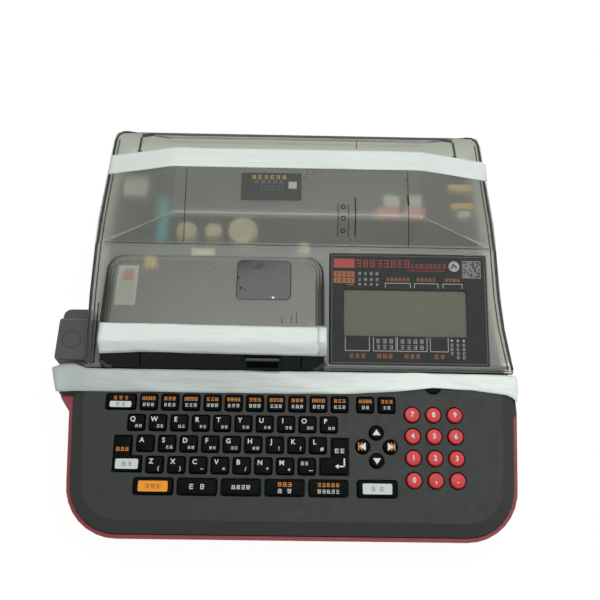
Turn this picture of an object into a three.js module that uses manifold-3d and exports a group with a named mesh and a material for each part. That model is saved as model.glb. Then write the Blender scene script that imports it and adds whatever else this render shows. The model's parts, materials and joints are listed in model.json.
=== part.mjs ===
// Desktop tube and label marking printer: keyboard deck, display, smoked lid and marking mechanism.
// Units are millimetres, +Z is up, +Y is towards the hinge at the back, +X is to the operator's right.
import * as THREE from 'three';
import { mergeGeometries, mergeVertices } from 'three/addons/utils/BufferGeometryUtils.js';
import Module from 'manifold-3d';

const wasm = await Module();
wasm.setup();

// ---------------------------------------------------------------- driving dimensions
const GAP = 0.3; // clearance between separate pieces
const SKIN = 2.4; // wall of the two case halves
const LID_SKIN = 2.2; // wall of the smoked lid

// the whole machine, before its box is centred on the origin
const BOX_X = [-159.8, 147.4];
const BOX_Y = [-138.6, 146.6];

// lower case, upper case and the bay that holds the printing mechanism
const FOOT_HEIGHT = 2.7;
const NEST_Z = 28; // the upper case reaches down inside the lower one to this height
const DECK_STEP = 2.7; // the dark deck sits this far inside the red rim
const RIM_DROP = 5; // the red rim follows the deck, this far below it
const RIM_BACK_Z = 40.4; // and runs level under the lid, below the hinge brackets
const BAY_FLOOR = [30, 32.4];
const BAY_RIM_Z = 46;
const BAY_FRONT_Y = -24;
const LEDGE_Z = 47.6;
const LID_FRONT_Y = -33.3;

// keyboard deck: a plane that rises towards the back
const DECK_SLOPE = THREE.MathUtils.degToRad(7);
const DECK_REF = [0, -55, 46];
const DECK_BEVEL = 10.5;
const DECK_BEVEL_DROP = 3.2;
const DECK_BACK_Y = -49;

// keys, in the deck's own plane: x across, v up the slope, from the function row
const KEY_PITCH = 13.8;
const ROW_V = [0, -13.33, -26.67, -40, -53.33];
const KEY_HOLE = [12, 11.3];
const KEY_CAP = [10.4, 9.8];
const KEY_RISE = 1.8;
const KEY_FLOOR = -4.4;
const FLANGE_TOP = -2.8;
const ROUND_HOLE = 5.7;
const NUMBER_KEY = 4.75;
const ARROW_KEY = 4.3;
const ARROW_HOLE = 5.15;
const NUMBER_X = [76.95, 90.85, 104.75];
const NUMBER_V = [-6.04, -19.93, -33.82, -47.71];
const ARROW_CENTRE = [53.44, -26.96];
const ARROW_REACH = 8.88;

// display: a panel in the lid's front slope
const PANEL_SLOPE = THREE.MathUtils.degToRad(12.5);
const PANEL_REF = [0, -35, 51.5];
const PANEL_X = [23.2, 129.3];
const PANEL_Y = [-29.6, 44.7];
const GLASS_X = [32.6, 115.2];
const GLASS_V = [25, 56.8];
const PANEL_THICK = 1.2;

// lid outline, its long section and its cross-section
const LID_BOTTOM = 42;
const LID_TOP = 81.8;
const SHOULDER_Z = 69.5;
const BUBBLE_X = [-127, 19.2];
const BUBBLE_Y = [LID_FRONT_Y, 42];
const BUBBLE_CORNER = 13;
const WINDOW_X = [-39.5, -3.1];
const WINDOW_Y = [8.8, 38.5];
const DEEP_Z = 20; // the lid's outlines run down to here before its bottom edge is trimmed
const BACK_FOOT_Y = 148.55; // where the sloping back wall meets that height
const BACK_ROUND = 24; // radius of the lid's rounded back edge
const BACK_WALL_Y = 145.2;
const REAR_WALL_Y = 136.6; // back of the case
const HINGE = [139.2, 44]; // y and z of the hinge axis
const KNUCKLE_R = 3.2;
const ROD_R = 1.5;
const BORE_R = 1.8;

// tube path and the drive train around it
const PATH_Y = -6;
const PATH_Z = 41;
const ROLLER_Y = -13.2;
const PLATEN_X = -22;
const FEED_X = 0;
const ROLLER_R = 5.5;
const GEAR_MODULE = 0.6;
const GEAR_Z = [34.9, 38];
const PLATEN_TEETH = 24;
const IDLER_TEETH = 16;
const PINION_TEETH = 12;
const PINION_ANGLE = 135;
const SPOOLS = { takeup_spool: [-46, 39], supply_spool: [-6, 39] };
const SPOOL_R = 15.5;
const LEVER_PIVOT = [-95, 62];
const CUTTER_X = -110;

// ---------------------------------------------------------------- outlines
const rad = THREE.MathUtils.degToRad;
const deckZ = (y) => DECK_REF[2] + (y - DECK_REF[1]) * Math.tan(DECK_SLOPE);
const panelZ = (y) => PANEL_REF[2] + (y - PANEL_REF[1]) * Math.tan(PANEL_SLOPE);
const middle = ([low, high]) => (low + high) / 2;
const span = ([low, high]) => high - low;

// points along an arc, angles in degrees
function arc(cx, cy, radius, from, to, steps) {
  return Array.from({ length: steps + 1 }, (_, k) => {
    const angle = rad(from + ((to - from) * k) / steps);
    return [cx + radius * Math.cos(angle), cy + radius * Math.sin(angle)];
  });
}

const disc = (radius, sides, cx = 0, cy = 0) => arc(cx, cy, radius, 0, 360, sides).slice(0, sides);

function roundedRect(width, depth, radius, steps = 2, cx = 0, cy = 0) {
  const [hx, hy] = [width / 2 - radius, depth / 2 - radius];
  const corners = [[hx, hy], [-hx, hy], [-hx, -hy], [hx, -hy]];
  return corners.flatMap(([x, y], i) => arc(cx + x, cy + y, radius, 90 * i, 90 * i + 90, steps));
}

const rectangle = ([x0, x1], [y0, y1]) => [[x0, y0], [x1, y0], [x1, y1], [x0, y1]];

// moves every side of a counter-clockwise polygon inwards
function inset(points, distance) {
  const count = points.length;
  return points.map(([x, y], i) => {
    const [px, py] = points[(i + count - 1) % count];
    const [nx, ny] = points[(i + 1) % count];
    const before = new THREE.Vector2(x - px, y - py).normalize();
    const after = new THREE.Vector2(nx - x, ny - y).normalize();
    const normal = new THREE.Vector2(-before.y - after.y, before.x + after.x).normalize();
    const reach = distance / (normal.x * -before.y + normal.y * before.x);
    return [x + normal.x * reach, y + normal.y * reach];
  });
}

// plan of the case at the red rim: the keyboard half, and the narrower half under the lid
const FRONT_RADIUS = 34;
const REAR_RADIUS = 13;
const FRONT_RIGHT = [
  ...arc(110.2, BOX_Y[0] + FRONT_RADIUS, FRONT_RADIUS, -90, 0, 8), [145.9, -80], [147.4, -56],
  [147.4, -38], [145.9, -33], [141.5, -27], [139, -5],
];
const FRONT_LEFT = [
  [-136.8, -27], [-141.4, -30], [-145.6, -34.5], [-147.4, -40], [-147.4, -56], [-145.9, -80],
  ...arc(-110.2, BOX_Y[0] + FRONT_RADIUS, FRONT_RADIUS, 180, 270, 8),
];
const REAR = [
  [137.3, 15], [136, 47], [134.4, 97],
  ...arc(119.6, REAR_WALL_Y - REAR_RADIUS, REAR_RADIUS, 10, 90, 4),
  ...arc(-119.6, REAR_WALL_Y - REAR_RADIUS, REAR_RADIUS, 90, 170, 4),
  [-134.4, 97], [-136, 47], [-136.8, 15],
];
const casePlan = (distance = 0) => inset([...FRONT_RIGHT, ...REAR, ...FRONT_LEFT], distance);
const deckPlan = (distance) => inset([...FRONT_RIGHT, [-136.8, -5], ...FRONT_LEFT], distance);

// plan of the lid; its left side runs straight, beside the exit housing
const BACK_CENTRE_Y = BOX_Y[1] + 0.2 - REAR_RADIUS;
function lidPlan(distance = 0) {
  const right = [
    [144.7, LID_FRONT_Y], [140.3, -5], [138.5, 15], [137, 47], [137, 70], [135.5, 97],
    ...arc(120.5, BACK_CENTRE_Y, REAR_RADIUS, 4, 90, 4),
  ];
  const left = [
    ...arc(-120.5, BACK_CENTRE_Y, REAR_RADIUS, 90, 176, 4),
    [-135.5, 97], [-137, 70], [-137, 47], [-138.1, 15], [-137.9, LID_FRONT_Y],
  ];
  return inset([...right, ...left], distance);
}

// long section of the lid (y, z): front lip, display slope, step up to the hump, back wall
function lidSection(distance) {
  const points = [
    [BACK_FOOT_Y, DEEP_Z], ...arc(BACK_WALL_Y - BACK_ROUND, LID_TOP - BACK_ROUND, BACK_ROUND, 0, 90, 7),
    [70, LID_TOP], [66, 81], [51, 70.6], [47, 69.1], [LID_FRONT_Y + 1.5, 52.2], [LID_FRONT_Y, 51],
    [LID_FRONT_Y, DEEP_Z],
  ];
  return inset(points, distance);
}

// cross-section of the lid (x, z): high middle, sloping shoulders
function lidCross(distance) {
  return inset([
    [160, DEEP_Z], [160, SHOULDER_Z], [136.4, SHOULDER_Z], [87, 81.3], [84, LID_TOP],
    [-84, LID_TOP], [-87, 81.3], [-136.4, SHOULDER_Z], [-160, SHOULDER_Z], [-160, DEEP_Z],
  ], distance);
}

// long section of the raised print-unit area
function bubbleSection(distance) {
  return inset([
    [BUBBLE_Y[1], DEEP_Z], [BUBBLE_Y[1], SHOULDER_Z - 2], [BUBBLE_Y[1] - 2, SHOULDER_Z],
    [-18.6, SHOULDER_Z], [-20.6, 68.6], [LID_FRONT_Y, 51.4], [LID_FRONT_Y, DEEP_Z],
  ], distance);
}

// ---------------------------------------------------------------- solids
const toShape = (points) => new THREE.Shape(points.map(([a, b]) => new THREE.Vector2(a, b)));
const AXES = {
  X: [new THREE.Vector3(0, 1, 0), new THREE.Vector3(0, 0, 1), new THREE.Vector3(1, 0, 0)],
  Y: [new THREE.Vector3(1, 0, 0), new THREE.Vector3(0, 0, 1), new THREE.Vector3(0, -1, 0)],
  Z: [new THREE.Vector3(1, 0, 0), new THREE.Vector3(0, 1, 0), new THREE.Vector3(0, 0, 1)],
};

// an outline pushed along an axis: (y, z) along X, (x, z) along Y, (x, y) along Z
function prism(points, [from, to], axis = 'Z') {
  const geometry = new THREE.ExtrudeGeometry(toShape(points), {
    depth: to - from, bevelEnabled: false, curveSegments: 1,
  });
  geometry.applyMatrix4(new THREE.Matrix4().makeBasis(...AXES[axis]));
  const start = { X: [from, 0, 0], Y: [0, to, 0], Z: [0, 0, from] }[axis];
  return geometry.translate(...start);
}

const block = (xs, ys, zs) => prism(rectangle(xs, ys), zs);

// a skin through outlines with matching points; each layer's height is a number or a function of y
function loft(layers) {
  const count = layers[0].points.length;
  const height = (layer, y) => (typeof layer.z === 'function' ? layer.z(y) : layer.z);
  const ring = (layer) => layer.points.flatMap(([x, y]) => [x, y, height(layer, y)]);
  const positions = layers.flatMap(ring);
  const index = [];
  for (let level = 0; level + 1 < layers.length; level += 1) {
    for (let i = 0; i < count; i += 1) {
      const [a, b] = [level * count + i, level * count + ((i + 1) % count)];
      index.push(a, b, b + count, a, b + count, a + count);
    }
  }
  [0, layers.length - 1].forEach((level) => {
    const contour = layers[level].points.map(([x, y]) => new THREE.Vector2(x, y));
    THREE.ShapeUtils.triangulateShape(contour, []).forEach(([a, b, c]) => {
      const face = level === 0 ? [a, c, b] : [a, b, c];
      index.push(...face.map((i) => i + level * count));
    });
  });
  const geometry = new THREE.BufferGeometry();
  geometry.setAttribute('position', new THREE.Float32BufferAttribute(positions, 3));
  geometry.setIndex(index);
  return geometry;
}

// a turned piece on a vertical axis: pairs of radius and height
function turned(profile, sides, cx = 0, cy = 0) {
  const points = profile.map(([r, z]) => new THREE.Vector2(r, z));
  return new THREE.LatheGeometry(points, sides).rotateX(Math.PI / 2).translate(cx, cy, 0);
}

function cylinder(radius, zs, sides, cx = 0, cy = 0) {
  return prism(disc(radius, sides, cx, cy), zs);
}

function toSolid(geometry) {
  const bare = geometry.clone();
  bare.deleteAttribute('normal');
  bare.deleteAttribute('uv');
  const merged = mergeVertices(bare, 1e-4);
  return new wasm.Manifold(new wasm.Mesh({
    numProp: 3,
    vertProperties: new Float32Array(merged.attributes.position.array),
    triVerts: new Uint32Array(merged.index.array),
  }));
}

function toGeometry(solid) {
  const mesh = solid.getMesh();
  const geometry = new THREE.BufferGeometry();
  geometry.setAttribute('position', new THREE.BufferAttribute(mesh.vertProperties, 3));
  geometry.setIndex(new THREE.BufferAttribute(mesh.triVerts, 1));
  return geometry;
}

const fold = (step) => (first, ...rest) => toGeometry(
  rest.reduce((solid, next) => step(solid, toSolid(next)), toSolid(first)),
);
const join = fold((a, b) => a.add(b));
const cut = fold((a, b) => a.subtract(b));
const common = fold((a, b) => a.intersect(b));

// separate cutters that don't touch each other, as one cutter
const together = (geometries) => mergeGeometries(geometries.map((geometry) => {
  const plain = geometry.index ? geometry.toNonIndexed() : geometry.clone();
  plain.deleteAttribute('normal');
  plain.deleteAttribute('uv');
  return plain;
}));

// ---------------------------------------------------------------- the assembly
const machine = new THREE.Group();
machine.position.set(-middle(BOX_X), -middle(BOX_Y), 0);
const deck = new THREE.Group();
deck.position.set(...DECK_REF);
deck.rotation.x = DECK_SLOPE;
const panelPlane = new THREE.Group();
panelPlane.position.set(...PANEL_REF);
panelPlane.rotation.x = PANEL_SLOPE;
machine.add(deck, panelPlane);

const FINISH = {
  red: [0x8f3136, 0.55, 0], dark: [0x2c2e2f, 0.6, 0], black: [0x161718, 0.55, 0],
  grey: [0x5a5c59, 0.6, 0], smoke: [0x55585a, 0.15, 0], clear: [0x9aa09c, 0.1, 0],
  rubber: [0x1b1b1b, 0.9, 0], steel: [0xb8bbbd, 0.35, 1], board: [0x1f5a38, 0.7, 0],
  white: [0xd2d2cc, 0.55, 0], scarlet: [0xc9252d, 0.5, 0],
  teal: [0x1f8a95, 0.5, 0], nylon: [0xe4e1d6, 0.6, 0], glass: [0x6c7062, 0.1, 0],
};

function add(name, geometry, finish, parent = machine) {
  const [color, roughness, metalness] = FINISH[finish];
  const material = new THREE.MeshStandardMaterial({ color, roughness, metalness });
  const mesh = new THREE.Mesh(geometry, material);
  mesh.name = name;
  parent.add(mesh);
  return mesh;
}

// moves a shape from the sloping deck into the machine's frame
const onDeck = (geometry) => geometry.rotateX(DECK_SLOPE).translate(...DECK_REF);

// ---------------------------------------------------------------- keys
const row = (first, count) => Array.from({ length: count }, (_, i) => first + i * KEY_PITCH);
const KEY_STRIPS = {
  function_keys: { v: ROW_V[0], xs: [...row(-94.4, 10), 46.5, 60.5] },
  upper_letter_keys: { v: ROW_V[1], xs: row(-101.45, 10) },
  middle_letter_keys: { v: ROW_V[2], xs: row(-94.63, 9) },
  lower_letter_keys: { v: ROW_V[3], xs: row(-87.85, 8) },
};
const WIDE_PITCH = 2 * KEY_PITCH;
const WIDE_KEYS = {
  power_key: { x: -112.4, v: ROW_V[0], size: [20.5, 11] },
  shift_key: { x: -87.9, v: ROW_V[4], size: [25.8, 11.3] },
  input_key: { x: -87.9 + WIDE_PITCH, v: ROW_V[4], size: [25.8, 11.3] },
  space_key: { x: -87.9 + 2 * WIDE_PITCH, v: ROW_V[4], size: [25.8, 11.3] },
  convert_key: { x: -87.9 + 3 * WIDE_PITCH, v: ROW_V[4], size: [25.8, 11.3] },
  block_key: { x: -87.9 + 4 * WIDE_PITCH, v: ROW_V[4], size: [25.8, 11.3] },
  confirm_key: { x: 53.4, v: ROW_V[4], size: [26.2, 11.6] },
};
const KEY_MARGIN = KEY_HOLE[0] - KEY_CAP[0];
const NUMBER_NAMES = [
  ['key_7', 'key_8', 'key_9'], ['key_4', 'key_5', 'key_6'],
  ['key_1', 'key_2', 'key_3'], ['key_0', 'key_comma', 'key_point'],
];
const ARROWS = { arrow_up: [0, 1], arrow_down: [0, -1], arrow_left: [-1, 0], arrow_right: [1, 0] };
// the two L-shaped keys: outline of the hole in the deck, counter-clockwise
const L_KEYS = {
  print_key: [
    [-115, -45.1], [-95.8, -45.1], [-95.8, -34.2], [-102.8, -34.2], [-102.8, -21.4], [-115, -21.4],
  ],
  enter_key: [[16.5, -45.5], [35.8, -45.5], [35.8, -21.4], [23.8, -21.4], [23.8, -34.2], [16.5, -34.2]],
};

const holeCutters = [];
const cutHole = (points) => holeCutters.push(prism(points, [-6, 6]));
const LETTER_CORNER = 1.6;

function letterStrip({ v, xs }) {
  const capHeight = [FLANGE_TOP - 0.4, KEY_RISE];
  const caps = xs.map((x) => prism(roundedRect(...KEY_CAP, LETTER_CORNER, 1, x, v), capHeight));
  const web = block([xs[0] - 6, xs[xs.length - 1] + 6], [v - 5.6, v + 5.6], [KEY_FLOOR, FLANGE_TOP]);
  return join(web, together(caps));
}

function flangedKey(cap, flange) {
  return join(prism(flange, [KEY_FLOOR, FLANGE_TOP]), prism(cap, [FLANGE_TOP - 0.4, KEY_RISE]));
}

Object.entries(KEY_STRIPS).forEach(([name, strip]) => {
  strip.xs.forEach((x) => cutHole(roundedRect(...KEY_HOLE, LETTER_CORNER, 2, x, strip.v)));
  add(name, letterStrip(strip), 'black', deck);
});

Object.entries(WIDE_KEYS).forEach(([name, { x, v, size: [width, depth] }]) => {
  cutHole(roundedRect(width, depth, LETTER_CORNER, 2, x, v));
  const cap = roundedRect(width - KEY_MARGIN, depth - KEY_MARGIN, LETTER_CORNER, 1, x, v);
  const flange = rectangle([x - width / 2 - 0.6, x + width / 2 + 0.6], [v - depth / 2, v + depth / 2]);
  add(name, flangedKey(cap, flange), 'black', deck);
});

Object.entries(L_KEYS).forEach(([name, hole]) => {
  cutHole(hole);
  add(name, flangedKey(inset(hole, KEY_MARGIN / 2), inset(hole, -0.4)), 'black', deck);
});

NUMBER_NAMES.forEach((names, r) => names.forEach((name, c) => {
  const [x, v] = [NUMBER_X[c], NUMBER_V[r]];
  cutHole(disc(ROUND_HOLE, 16, x, v));
  add(name, flangedKey(disc(NUMBER_KEY, 12, x, v), disc(NUMBER_KEY + 1.5, 8, x, v)), 'scarlet', deck);
}));

Object.entries(ARROWS).forEach(([name, [dx, dv]]) => {
  const [x, v] = [ARROW_CENTRE[0] + dx * ARROW_REACH, ARROW_CENTRE[1] + dv * ARROW_REACH];
  cutHole(disc(ARROW_HOLE, 16, x, v));
  add(name, flangedKey(disc(ARROW_KEY, 12, x, v), disc(ARROW_KEY + 1.3, 8, x, v)), 'black', deck);
});

add('key_board', block([-120, 112], [-60, 5.6], [-7.6, -6]), 'board', deck);

// ---------------------------------------------------------------- case
const EVERYWHERE = [-170, 170];
const SOCKETS = [{ x: 98, hole: 6.6 }, { x: 80, hole: 8.6 }]; // power inlet and data socket
const SOCKET_BLOCK_X = [72, 105];
const SOCKET_BLOCK_Z = [10, 22];

const tubeNotch = () => block([-150, -125], [PATH_Y - 7, PATH_Y + 7], [36, 60]);

// the red shell, with its rim cut to follow the deck
// the ear that stands out of the case in front of the exit housing, and the dark cap on its back half
const EAR = [
  [-145, -58], [-145, -34], [-154.8, -34], [-155.2, -46], [-153.4, -51.5], [-150, -56.5],
  [-146.9, -60.5],
];
const EAR_CAP = [[-142, -49.5], [-142, -34], [-154.8, -34], [-155.2, -46], [-153.9, -49.5]];
const EAR_CAP_Z = [RIM_BACK_Z + GAP, 44.4];

function lowerCase() {
  const outer = loft([
    { points: casePlan(9), z: FOOT_HEIGHT + GAP }, { points: casePlan(4.5), z: 8 },
    { points: casePlan(1.2), z: 19 }, { points: casePlan(0), z: NEST_Z },
    { points: casePlan(0), z: LEDGE_Z },
  ]);
  const hollow = loft([
    { points: casePlan(10.8), z: FOOT_HEIGHT + GAP + SKIN }, { points: casePlan(6.8), z: 9.4 },
    { points: casePlan(1.2 + SKIN), z: 20 }, { points: casePlan(SKIN), z: NEST_Z },
    { points: casePlan(SKIN), z: LEDGE_Z + 1 },
  ]);
  const port = block(
    [SOCKET_BLOCK_X[0] - GAP, SOCKET_BLOCK_X[1] + GAP], [REAR_WALL_Y - 9, REAR_WALL_Y + 4],
    [SOCKET_BLOCK_Z[0] - GAP, SOCKET_BLOCK_Z[1] + GAP],
  );
  const levelFrom = DECK_REF[1] + (RIM_BACK_Z + RIM_DROP - DECK_REF[2]) / Math.tan(DECK_SLOPE);
  const aboveRim = prism([
    [-160, deckZ(-160) - RIM_DROP], [levelFrom, RIM_BACK_Z], [160, RIM_BACK_Z], [160, 90], [-160, 90],
  ], EVERYWHERE, 'X');
  return cut(join(outer, prism(EAR, [24, LEDGE_Z])), hollow, port, aboveRim, tubeNotch());
}

function hingeBracket(x0, x1) {
  const [y, z] = HINGE;
  const root = REAR_WALL_Y - 3.5;
  return prism([[root, z - 3], ...arc(y, z, KNUCKLE_R, -90, 90, 6), [root, z + 2]], [x0, x1], 'X');
}

const hingeBore = (x0, x1) => prism(disc(BORE_R, 12, ...HINGE), [x0, x1], 'X');
const RELEASE = { x: 91.5, y: -41.6, r: 5.5 };

function topCase() {
  const outline = casePlan(DECK_STEP);
  const inside = casePlan(DECK_STEP + SKIN);
  const ledgeY = LID_FRONT_Y - 0.6;
  const deckShell = loft([
    { points: deckPlan(DECK_STEP), z: NEST_Z + GAP },
    { points: deckPlan(DECK_STEP), z: (y) => deckZ(y) - DECK_BEVEL_DROP },
    { points: deckPlan(DECK_BEVEL), z: deckZ },
  ]);
  const bayShell = common(
    prism(outline, [NEST_Z + GAP, BAY_RIM_Z]), block(EVERYWHERE, [ledgeY, 150], [0, 80]),
  );
  const ramp = prism([
    [DECK_BACK_Y, 40], [ledgeY, 40], [ledgeY, 49.9], [DECK_BACK_Y, deckZ(DECK_BACK_Y) - 0.05],
  ], [-137, 137], 'X');
  const underDeck = common(loft([
    { points: deckPlan(DECK_STEP + SKIN), z: NEST_Z - 1 },
    { points: deckPlan(DECK_STEP + SKIN), z: (y) => deckZ(y) - DECK_BEVEL_DROP - SKIN },
    { points: deckPlan(DECK_BEVEL + 1.5), z: (y) => deckZ(y) - SKIN },
  ]), block(EVERYWHERE, [-150, BAY_FRONT_Y - 4], [0, 80]));
  const underBay = common(
    prism(inside, [NEST_Z - 1, BAY_FLOOR[0]]), block(EVERYWHERE, [BAY_FRONT_Y - 5, 150], [0, 80]),
  );
  const bay = common(
    prism(inside, [BAY_FLOOR[1], 90]), block(EVERYWHERE, [BAY_FRONT_Y + SKIN, 150], [0, 100]),
  );
  const brackets = together([hingeBracket(73, 79), hingeBracket(-79, -73)]);
  const shell = cut(
    join(deckShell, bayShell, ramp),
    block(EVERYWHERE, [ledgeY, 150], [LEDGE_Z, 100]),
    block(EVERYWHERE, [BAY_FRONT_Y, 150], [BAY_RIM_Z, 100]),
    underDeck, underBay, bay,
  );
  const earCap = prism(EAR_CAP, EAR_CAP_Z);
  return cut(
    join(shell, brackets, earCap),
    hingeBore(-85, 85),
    tubeNotch(),
    cylinder(4, [20, 40], 12, ...pinionCentre()),
    cylinder(RELEASE.r + 0.4, [42, 60], 16, RELEASE.x, RELEASE.y),
    onDeck(together(holeCutters)),
  );
}

function pinionCentre() {
  const reach = (GEAR_MODULE * (PLATEN_TEETH + PINION_TEETH)) / 2;
  const angle = rad(PINION_ANGLE);
  return [PLATEN_X + reach * Math.cos(angle), ROLLER_Y + reach * Math.sin(angle)];
}

function exitHousing() {
  const main = prism(roundedRect(26, 29.9, 2, 2, -146.8, -12.35), [22, 48]);
  const step = prism(roundedRect(24, 14, 5, 3, -146.3, 3.2), [22, 46]);
  const slot = block([-170, -120], [PATH_Y - 6, PATH_Y + 6], [36.5, 43.8]);
  return cut(join(main, step), prism(casePlan(-GAP), [0, 90]), slot);
}

function rearSockets() {
  const depth = [REAR_WALL_Y - 10, REAR_WALL_Y + 1];
  const holes = SOCKETS.map(({ x, hole }) => prism(
    roundedRect(hole, hole, hole / 4, 2, x, middle(SOCKET_BLOCK_Z)), depth, 'Y',
  ));
  return cut(block(SOCKET_BLOCK_X, [REAR_WALL_Y - 14, REAR_WALL_Y], SOCKET_BLOCK_Z), together(holes));
}

add('lower_case', lowerCase(), 'red');
add('top_case', topCase(), 'dark');
add('exit_housing', exitHousing(), 'grey');
add('cover_release_button', join(
  cylinder(RELEASE.r, [43, 49.6], 16, RELEASE.x, RELEASE.y),
  cylinder(RELEASE.r + 1, [42, 43.6], 12, RELEASE.x, RELEASE.y),
), 'grey');
Object.entries({ front_foot: -108, rear_foot: 108 }).forEach(([name, y]) => {
  add(name, prism(roundedRect(236, 14, 6.9, 3, 0, y), [0, FOOT_HEIGHT]), 'rubber');
});
add('rear_sockets', rearSockets(), 'black');
add('main_board', block([-60, 120], [0, 108], [9.6, 11.2]), 'board');

// ---------------------------------------------------------------- display
function displayHousing() {
  const top = (y) => panelZ(y) - (PANEL_THICK + GAP) / Math.cos(PANEL_SLOPE);
  const [front, back] = PANEL_Y;
  const section = [
    [back, BAY_FLOOR[1] + GAP], [back, top(back)], [front, top(front)], [front, LEDGE_Z + 0.4],
    [BAY_FRONT_Y + SKIN + 0.4, LEDGE_Z + 0.4], [BAY_FRONT_Y + SKIN + 0.4, BAY_FLOOR[1] + GAP],
  ];
  const outer = prism(section, PANEL_X, 'X');
  const hollow = prism(
    [[back - 2, 20], [back - 2, top(back) - 2.6], [-17, top(-17) - 2.6], [-17, 20]],
    [PANEL_X[0] + 2, PANEL_X[1] - 2], 'X',
  );
  const opening = block(
    [GLASS_X[0] - 3.3, GLASS_X[1] + 3.3], [GLASS_V[0] - 3.3, GLASS_V[1] + 3.3], [-12, 5],
  ).rotateX(PANEL_SLOPE).translate(...PANEL_REF);
  return cut(outer, hollow, opening);
}

function displayPanel() {
  const reach = (y) => (y - PANEL_REF[1]) / Math.cos(PANEL_SLOPE);
  const vs = [reach(PANEL_Y[0]), reach(PANEL_Y[1])];
  const plate = prism(
    roundedRect(span(PANEL_X), span(vs), 1.5, 2, middle(PANEL_X), middle(vs)), [-PANEL_THICK, 0],
  );
  const window = prism(
    roundedRect(span(GLASS_X), span(GLASS_V), 1.2, 2, middle(GLASS_X), middle(GLASS_V)), [-3, 3],
  );
  return cut(plate, window);
}

add('display_housing', displayHousing(), 'dark');
add('display_panel', displayPanel(), 'black', panelPlane);
add('lcd_module', block(
  [GLASS_X[0] - 3, GLASS_X[1] + 3], [GLASS_V[0] - 3, GLASS_V[1] + 3], [-6, -PANEL_THICK - GAP],
), 'glass', panelPlane);

// ---------------------------------------------------------------- lid
const LATCH_X = [-33, -9];
const LATCH_STEM_X = [-27, -15];
// point on the outside of the sloping front wall, a share of the way up, moved outwards
function onFrontWall(share, out) {
  const [low, high] = [[LID_FRONT_Y, 51.4], [-20.6, 68.6]];
  const run = new THREE.Vector2(high[0] - low[0], high[1] - low[1]);
  const normal = new THREE.Vector2(-run.y, run.x).normalize();
  return [low[0] + run.x * share + normal.x * out, low[1] + run.y * share + normal.y * out];
}
const frontWallSlab = (from, to, outFrom, outTo, xs) => prism([
  onFrontWall(from, outTo), onFrontWall(from, outFrom), onFrontWall(to, outFrom), onFrontWall(to, outTo),
], xs, 'X');

function lidKnuckle(x0, x1) {
  const [y, z] = HINGE;
  return prism([
    ...arc(y, z, KNUCKLE_R, 90, 300, 7), [BACK_WALL_Y + 0.1, z + 0.2], [BACK_WALL_Y - 0.3, z + 4.6],
  ], [x0, x1], 'X');
}

const windowPlan = (gap, corner) => roundedRect(
  span(WINDOW_X) - gap, span(WINDOW_Y) - gap, corner, 2, middle(WINDOW_X), middle(WINDOW_Y),
);

function lid() {
  const shell = (distance) => common(
    prism(lidPlan(distance), [DEEP_Z, 100]),
    prism(lidSection(distance), EVERYWHERE, 'X'),
    prism(lidCross(distance), [-60, 160], 'Y'),
  );
  const bubble = (distance) => common(
    prism(bubbleSection(distance), [BUBBLE_X[0] + distance, BUBBLE_X[1] - distance], 'X'),
    prism(roundedRect(
      span(BUBBLE_X) - 2 * distance, 100, BUBBLE_CORNER - distance, 4,
      middle(BUBBLE_X), BUBBLE_Y[1] - distance - 50,
    ), [DEEP_Z, 100]),
  );
  const skin = cut(
    join(shell(0), bubble(0)), shell(LID_SKIN), bubble(LID_SKIN),
    block(EVERYWHERE, [-60, BAY_FRONT_Y], [0, LEDGE_Z + 0.5]),
    block(EVERYWHERE, [-60, 160], [0, LID_BOTTOM]),
  );
  return cut(
    join(skin, lidKnuckle(65.5, 72.5), lidKnuckle(-72.5, -65.5)),
    block([PANEL_X[0] - 0.6, PANEL_X[1] + 0.6], [PANEL_Y[0] - 0.6, PANEL_Y[1] + 0.6], [20, 100]),
    prism(windowPlan(0, 3), [60, 80]),
    block([-150, -128], [-40, 12], [0, 50]),
    frontWallSlab(0.12, 0.36, -4, 2, [LATCH_STEM_X[0] - 0.5, LATCH_STEM_X[1] + 0.5]),
    hingeBore(-85, 85),
  );
}

add('clear_cover', lid(), 'smoke');
add('view_window', prism(windowPlan(0.6, 2.7), [67.6, 69.3]), 'clear');
add('cover_front_panel', cut(
  frontWallSlab(0.02, 0.86, -4.4, -2.6, [BUBBLE_X[0] + 3, BUBBLE_X[1] - 3]),
  frontWallSlab(0.09, 0.39, -6, 0, [LATCH_STEM_X[0] - 0.7, LATCH_STEM_X[1] + 0.7]),
), 'black');
add('cover_latch', join(
  frontWallSlab(0.04, 0.44, 0.4, 2, LATCH_X),
  frontWallSlab(0.15, 0.33, -6.5, 0.6, LATCH_STEM_X),
), 'grey');
add('cover_hinge_rod', prism(disc(ROD_R, 12, ...HINGE), [-80, 80], 'X'), 'steel');

// ---------------------------------------------------------------- printing mechanism
// a spur gear outline; the first tooth points along phase, in degrees
function gearOutline(teeth, phase, cx, cy) {
  const pitchRadius = (GEAR_MODULE * teeth) / 2;
  const [root, tip] = [pitchRadius - 1.2 * GEAR_MODULE, pitchRadius + 0.85 * GEAR_MODULE];
  const step = 360 / teeth;
  const corners = [[root, -0.24], [tip, -0.1], [tip, 0.1], [root, 0.24]];
  return Array.from({ length: teeth }, (_, k) => corners.map(([radius, share]) => {
    const angle = rad(phase + step * (k + share));
    return [cx + radius * Math.cos(angle), cy + radius * Math.sin(angle)];
  })).flat();
}

// turns a gear so that its teeth meet the gaps of the one that drives it
function meshPhase(drivePhase, driveTeeth, teeth, direction) {
  const shift = 0.5 - (drivePhase - direction) / (360 / driveTeeth);
  return direction + 180 + (shift * 360) / teeth;
}

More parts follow.
